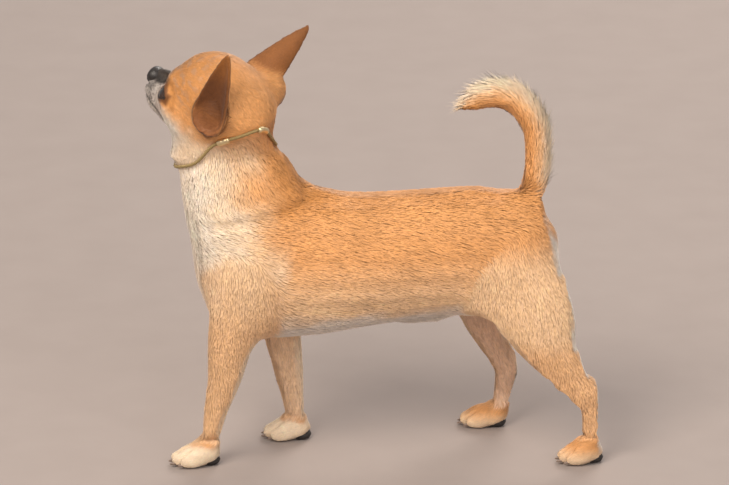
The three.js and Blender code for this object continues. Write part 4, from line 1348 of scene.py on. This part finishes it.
    def finish(self) -> list[bpy.types.Object]:
        """Returns the coat's pieces, part by part."""
        label = self.roots.weights.argmax(1)
        groups = {
            "coat_trunk": (Part.TRUNK,), "coat_neck": (Part.NECK,), "coat_tail": (Part.TAIL,),
            "coat_head": (Part.HEAD,), "coat_ears": (Part.EAR_LEFT, Part.EAR_RIGHT),
            "coat_forelegs": (Part.FORELEG,), "coat_hindlegs": (Part.HINDLEG,), "coat_feet": (Part.PAW,),
        }
        material = HairFinish().material()
        pieces = []
        for name, parts in groups.items():
            chosen = np.flatnonzero(np.isin(label, [part.value for part in parts]))
            chosen = chosen[np.argsort(self.roots.points[chosen, 0])]
            shares = max(1, math.ceil(len(chosen) / self.most_locks))
            for i, some in enumerate(np.array_split(chosen, shares)):
                title = f"{name}_{i + 1}" if shares > 1 else name
                pieces.append(self._joined(title, some, material))
        return pieces

    def _joined(self, name: str, some: np.ndarray, material: bpy.types.Material) -> bpy.types.Object:
        """Joins locks to one mesh.

        Args:
            name: Name of the piece.
            some: Which locks.
            material: Finish of the hair.

        Returns:
            The piece.
        """
        points = self.corners.shape[1]
        tip = points - 1
        quads = [(k, 3 + k, 3 + (k + 1) % 3, (k + 1) % 3) for k in range(3)]
        caps = [(4, 3, tip), (5, 4, tip), (3, 5, tip), (0, 1, 2)]
        sizes = np.tile([4] * len(quads) + [3] * len(caps), len(some))
        one = np.array([i for face in quads + caps for i in face])
        index = (one[None] + points * np.arange(len(some))[:, None]).ravel()
        mesh = bpy.data.meshes.new(name)
        mesh.vertices.add(points * len(some))
        mesh.vertices.foreach_set("co", (self.corners[some] * MM).astype(np.float32).ravel())
        mesh.loops.add(len(index))
        mesh.loops.foreach_set("vertex_index", index.astype(np.int32))
        mesh.polygons.add(len(sizes))
        mesh.polygons.foreach_set("loop_start", (np.cumsum(sizes) - sizes).astype(np.int32))
        mesh.polygons.foreach_set("loop_total", sizes.astype(np.int32))
        mesh.update(calc_edges=True)
        around, along = one % 3, one // 3
        around = np.where(one == tip, 1, around)
        patch = np.stack([around / 2 - 0.5, along / 2 - 0.5], 1) * self.patch
        uv = self.uv[some][:, None] + patch[None]
        mesh.uv_layers.new(name="OFBake").data.foreach_set("uv", uv.astype(np.float32).ravel())
        paint(mesh, self.colour[some])
        mesh.materials.append(material)
        mesh.shade_smooth()
        own = read(mesh.vertex_normals, "vector", np.float32, 3)
        lying = unit(np.repeat(self.roots.normals[some], points, 0) * self.lying + own * (1 - self.lying))
        mesh.normals_split_custom_set_from_vertices(lying.tolist())
        return linked(name, mesh)


class Eyes:
    """Two round eyes with a bulging clear front."""

    cornea = 0.35
    cornea_edge = 36

    def finish(self) -> list[bpy.types.Object]:
        """Returns the left and the right eye."""
        material = EyeFinish().material()
        pieces = []
        for name, side in (("left", 1), ("right", -1)):
            gaze = LIDS.look(side) @ HEAD.axes()
            centre = HEAD.outside(eye_at(side))
            shape = bmesh.new()
            bmesh.ops.create_icosphere(shape, subdivisions=5, radius=EYE_RADIUS * MM)
            angles = []
            for vertex in shape.verts:
                angle = math.degrees(math.acos(max(-1, min(1, vertex.co.normalized() @ Vector(gaze)))))
                angles.append(angle / 90)
                swell = self.cornea * max(0.0, 1 - (angle / self.cornea_edge) ** 2)
                vertex.co *= 1 + swell / EYE_RADIUS
            bmesh.ops.translate(shape, verts=shape.verts, vec=Vector(centre * MM))
            piece = placed(f"eyeball_{name}", shape, material)
            attribute = piece.data.attributes.new("from_pupil", "FLOAT", "POINT")
            attribute.data.foreach_set("value", np.array(angles, np.float32))
            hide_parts(f"eye_{name}")
            pieces.append(piece)
        return pieces


class Nose:
    """Bare nose leather with two comma-shaped nostrils and a middle groove."""

    flatness = 0.14
    nostril_deep = 0.42
    slit_deep = 0.2
    groove_deep = 0.1

    def finish(self) -> bpy.types.Object:
        """Returns the nose."""
        shape = bmesh.new()
        bmesh.ops.create_icosphere(shape, subdivisions=5, radius=1.0)
        points = np.array([tuple(v.co) for v in shape.verts])
        x, y, z = points.T
        side = np.abs(y)
        flat = 1 - self.flatness * soft(0.5, 1.0, x)
        hole = line_of(side - 0.44, 0.17) * line_of(z + 0.02, 0.2) * soft(0.1, 0.5, x)
        slit = line_of(side - 0.78, 0.22) * line_of(z + 0.28 + 0.2 * side, 0.1) * soft(-0.2, 0.3, x)
        groove = line_of(y, 0.07) * soft(0.3, -0.1, z) * soft(0.2, 0.6, x)
        inward = self.nostril_deep * hole + self.slit_deep * slit + self.groove_deep * groove
        points = points * flat[:, None] * (1 - inward)[:, None]
        points = HEAD.outside(points * np.array(NOSE_RADII) + np.array(NOSE_AT)) * MM
        for vertex, place in zip(shape.verts, points):
            vertex.co = place
        leather = LeatherFinish("Moist nose leather", "#16110f", 0.8, 0.36)
        piece = placed("nose_leather", shape, leather.material())
        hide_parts("nose")
        return piece


class Feet:
    """Claws and pads, rounded from their solids."""

    paws = PART_NODES[Part.PAW]
    cuts = 2
    rounds = 3
    evening = 0.4
    claw_reach = 0.7

    def _rounded(self, name: str, nodes: list[str], material: bpy.types.Material,
                 reach: float = 0.0) -> bpy.types.Object:
        """Joins copies of solids and rounds them off.

        Args:
            name: Name of the piece.
            nodes: The solids.
            material: Their finish.
            reach: How much further back into the foot they run, as a share of their length.

        Returns:
            The piece that stands for them.
        """
        shape = bmesh.new()
        for node in nodes:
            known = len(shape.verts)
            shape.from_mesh(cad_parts[node].data)
            shape.verts.ensure_lookup_table()
            tip = min(vertex.co.x for vertex in shape.verts[known:])
            for vertex in shape.verts[known:]:
                vertex.co.x += (vertex.co.x - tip) * reach
        bmesh.ops.remove_doubles(shape, verts=shape.verts, dist=1e-6)
        bmesh.ops.subdivide_edges(shape, edges=shape.edges, cuts=self.cuts, use_grid_fill=True)
        for _ in range(self.rounds):
            bmesh.ops.smooth_vert(shape, verts=shape.verts, factor=self.evening, use_axis_x=True,
                                  use_axis_y=True, use_axis_z=True)
        piece = placed(name, shape, material)
        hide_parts(*nodes)
        return piece

    def finish(self) -> list[bpy.types.Object]:
        """Returns the claws and the pads."""
        claws = self._rounded("claws", [f"{paw}_claw_{i}" for paw in self.paws for i in range(1, 5)],
                              HornFinish().material(), self.claw_reach)
        pads = self._rounded("pads", [f"{paw}_pad" for paw in self.paws],
                             LeatherFinish("Dry pad leather", "#1c1715", 0.7, 0.7).material())
        return [claws, pads]


class Collar:
    """A thin braided cord round the neck with a slide behind the ear and a crimped sleeve."""

    low = np.array([-100.6, -0.2, 214.0])
    high = np.array([-117.6, -0.2, 258.0])
    heights = ((0, 225), (38, 233), (75, 249), (97, 255), (140, 264), (180, 239), (270, 240), (360, 225))
    radius = 1.2
    lift = 2.3
    sides = 14
    pitch = 4.2
    strands = 3
    strand_high = 0.1
    spacing = 0.6
    fitting_radius = 2.35
    band_high = 0.22
    end_round = 0.5
    fitting_share = 0.55
    fitting_half = 9

    def __init__(self, skin: Skin) -> None:
        """Lays the cord's middle line into the coat of the neck.

        Args:
            skin: The finished skin.
        """
        tree = surface_tree(skin.piece, skin.points)
        degrees = np.arange(0, 360, 5)
        line = []
        for angle in degrees:
            height = np.interp(angle, *zip(*self.heights))
            rise = (height - self.low[2]) / (self.high[2] - self.low[2])
            middle = self.low + (self.high - self.low) * rise
            out = np.array([-math.cos(math.radians(angle)), -math.sin(math.radians(angle)), 0.0])
            place = tree.ray_cast(Vector(middle + out * 80), Vector(-out))[0]
            line.append(np.array(place) + out * self.lift)
        self.line = self._even(np.array(line))

    def _even(self, line: np.ndarray) -> np.ndarray:
        """Smooths the closed line a little and fills it in to even steps."""
        for _ in range(3):
            line = line / 2 + (np.roll(line, 1, 0) + np.roll(line, -1, 0)) / 4
        closed = np.vstack([line, line[:1]])
        run = np.r_[0, np.cumsum(np.linalg.norm(np.diff(closed, axis=0), axis=1))]
        steps = np.linspace(0, run[-1], int(run[-1] / self.spacing), endpoint=False)
        return np.stack([np.interp(steps, run, closed[:, k]) for k in range(3)], 1)

    def _tube(self, name: str, rows: np.ndarray, radii: np.ndarray, closed: bool,
              material: bpy.types.Material) -> bpy.types.Object:
        """Sweeps a round section along part of the line.

        Args:
            name: Name of the piece.
            rows: Which points of the line.
            radii: One radius for each point and side.
            closed: Whether the end joins the start.
            material: Finish.

        Returns:
            The piece.
        """
        count = len(self.line)
        along = unit(self.line[(rows + 2) % count] - self.line[(rows - 2) % count])
        out = unit(np.cross(along, [0, 0, 1.0]))
        over = np.cross(out, along)
        turn = np.arange(self.sides) / self.sides * 2 * math.pi
        ring = (self.line[rows % count][:, None] + out[:, None] * (np.cos(turn) * radii)[..., None]
                + over[:, None] * (np.sin(turn) * radii)[..., None])
        shape = bmesh.new()
        loops = []
        for points in ring:
            verts = [shape.verts.new(point * MM) for point in points]
            loops.append([shape.edges.new(pair) for pair in zip(verts, verts[1:] + verts[:1])])
        for a, b in zip(loops, loops[1:] + (loops[:1] if closed else [])):
            if a is not b:
                bmesh.ops.bridge_loops(shape, edges=a + b)
        if not closed:
            bmesh.ops.holes_fill(shape, edges=loops[0] + loops[-1], sides=0)
        bmesh.ops.recalc_face_normals(shape, faces=shape.faces)
        layer = shape.loops.layers.uv.new("cord_map")
        shape.verts.index_update()
        for face in shape.faces:
            rows_of = [loop.vert.index // self.sides for loop in face.loops]
            sides_of = [loop.vert.index % self.sides for loop in face.loops]
            wrap_row = max(rows_of) - min(rows_of) > 2
            wrap_side = max(sides_of) - min(sides_of) > 2 and len(face.verts) == 4
            for loop, row, side in zip(face.loops, rows_of, sides_of):
                row += len(rows) if wrap_row and row == 0 else 0
                side += self.sides if wrap_side and side == 0 else 0
                loop[layer].uv = (row * self.spacing / self.pitch, side / self.sides)
        return placed(name, shape, material)

    def finish(self) -> list[bpy.types.Object]:
        """Returns the cord and its two fittings."""
        rows = np.arange(len(self.line))
        turn = np.arange(self.sides) / self.sides * 2 * math.pi
        twist = rows[:, None] * self.spacing / self.pitch * 2 * math.pi
        radii = self.radius * (1 + self.strand_high * np.cos(self.strands * turn[None] - twist))
        cord = self._tube("cord", rows, radii, True, CordFinish().material())
        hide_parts("collar_cord")
        pieces = [cord]
        brass = BrassFinish().material()
        for name, node, bands in (("slide", "collar_slide", 2), ("sleeve", "collar_crimp", 3)):
            low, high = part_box(node)
            centre = (np.array(low) + np.array(high)) / 2 / MM
            middle = int(np.linalg.norm(self.line - centre, axis=1).argmin())
            half = min((high - low).length / MM / 2 * self.fitting_share, self.fitting_half)
            half = int(half / self.spacing)
            span = np.arange(middle - half, middle + half + 1)
            t = np.linspace(-1, 1, len(span))
            waves = np.abs(np.sin(t * bands * math.pi / 2))
            outline = self.fitting_radius + self.band_high * waves
            outline = outline - self.end_round * soft(0.85, 1.0, np.abs(t))
            piece = self._tube(name, span, np.repeat(outline[:, None], self.sides, 1), False, brass)
            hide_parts(node)
            pieces.append(piece)
        return pieces


@dataclass(frozen=True)
class Lamp:
    """A square soft light: its place and width in metres, its power and its colour."""

    name: str
    place: tuple[float, float, float]
    watts: float
    wide: float
    colour: str


@dataclass
class Studio:
    """Camera at the photograph's angle, soft lights and a plain pale floor."""

    turn: float = -4.0
    look_down: float = 20.0
    target: tuple[float, float, float] = (-7.6, -0.2, 162.4)
    distance: float = 4500.0
    lens: float = 302.2
    sensor: float = 36.0
    aim: tuple[float, float, float] = (0.0, 0.0, 0.15)
    lamps: tuple[Lamp, ...] = (
        Lamp("key", (-1.3, -1.5, 2.3), 76, 1.5, "#fff4e6"),
        Lamp("fill", (0.9, -2.3, 1.5), 26, 1.8, "#fbf6f2"),
        Lamp("rim", (0.9, 1.9, 1.9), 44, 1.3, "#fff8f0"),
    )
    air: str = "#e8e4e2"
    air_strength: float = 0.62
    floor_half: float = 8.0

    def camera(self) -> None:
        """Makes the scene's camera."""
        a, e = math.radians(self.turn), math.radians(self.look_down)
        right = Vector((math.cos(a), math.sin(a), 0))
        ahead = Vector((-math.sin(a), math.cos(a), 0))
        up = ahead * math.sin(e) + Vector((0, 0, math.cos(e)))
        view = ahead * math.cos(e) - Vector((0, 0, math.sin(e)))
        data = bpy.data.cameras.new("camera")
        data.lens, data.sensor_width = self.lens, self.sensor
        data.clip_start, data.clip_end = 0.05, 100
        camera = bpy.data.objects.new("camera", data)
        place = (Vector(self.target) - view * self.distance) * MM
        camera.matrix_world = Matrix.Translation(place) @ Matrix((right, up, -view)).transposed().to_4x4()
        bpy.context.scene.collection.objects.link(camera)
        bpy.context.scene.camera = camera

    def light(self) -> None:
        """Hangs the square soft lights, which face the dog, and sets the pale surroundings."""
        for lamp in self.lamps:
            data = bpy.data.lights.new(lamp.name, "AREA")
            data.energy, data.size = lamp.watts, lamp.wide
            data.color = linear(lamp.colour)[:3]
            hung = bpy.data.objects.new(lamp.name, data)
            aim = Vector(self.aim) - Vector(lamp.place)
            facing = aim.to_track_quat("-Z", "Y").to_matrix().to_4x4()
            hung.matrix_world = Matrix.Translation(lamp.place) @ facing
            bpy.context.scene.collection.objects.link(hung)
        world = bpy.data.worlds.new("studio")
        world.use_nodes = True
        background = world.node_tree.nodes["Background"].inputs
        background[0].default_value, background[1].default_value = linear(self.air), self.air_strength
        bpy.context.scene.world = world
        bpy.context.scene.view_settings.view_transform = "Standard"

    def floor(self) -> None:
        """Lays the floor."""
        shape = bmesh.new()
        bmesh.ops.create_grid(shape, x_segments=8, y_segments=8, size=self.floor_half)
        placed("floor", shape, FloorFinish().material())


def main() -> None:
    """Builds every piece, hangs it on the body and reports it."""
    logging.basicConfig(level=logging.INFO, format="%(message)s")
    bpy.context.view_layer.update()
    studio = Studio()
    studio.camera()
    studio.light()
    studio.floor()
    skin = Skin()
    LOG.info("skin: %d points", len(skin.points))
    collar = Collar(skin)
    coat = Coat(skin, collar.line)
    LOG.info("coat: %d locks", len(coat.roots.points))
    pieces = [skin.finish(), *coat.finish()]
    pieces += [*Eyes().finish(), Nose().finish(), *Feet().finish(), *collar.finish()]
    for piece in pieces:
        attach(piece, "root")
        triangles = sum(len(face.vertices) - 2 for face in piece.data.polygons)
        LOG.info("%s: %d triangles", piece.name, triangles)


if __name__ == "__main__":
    main()
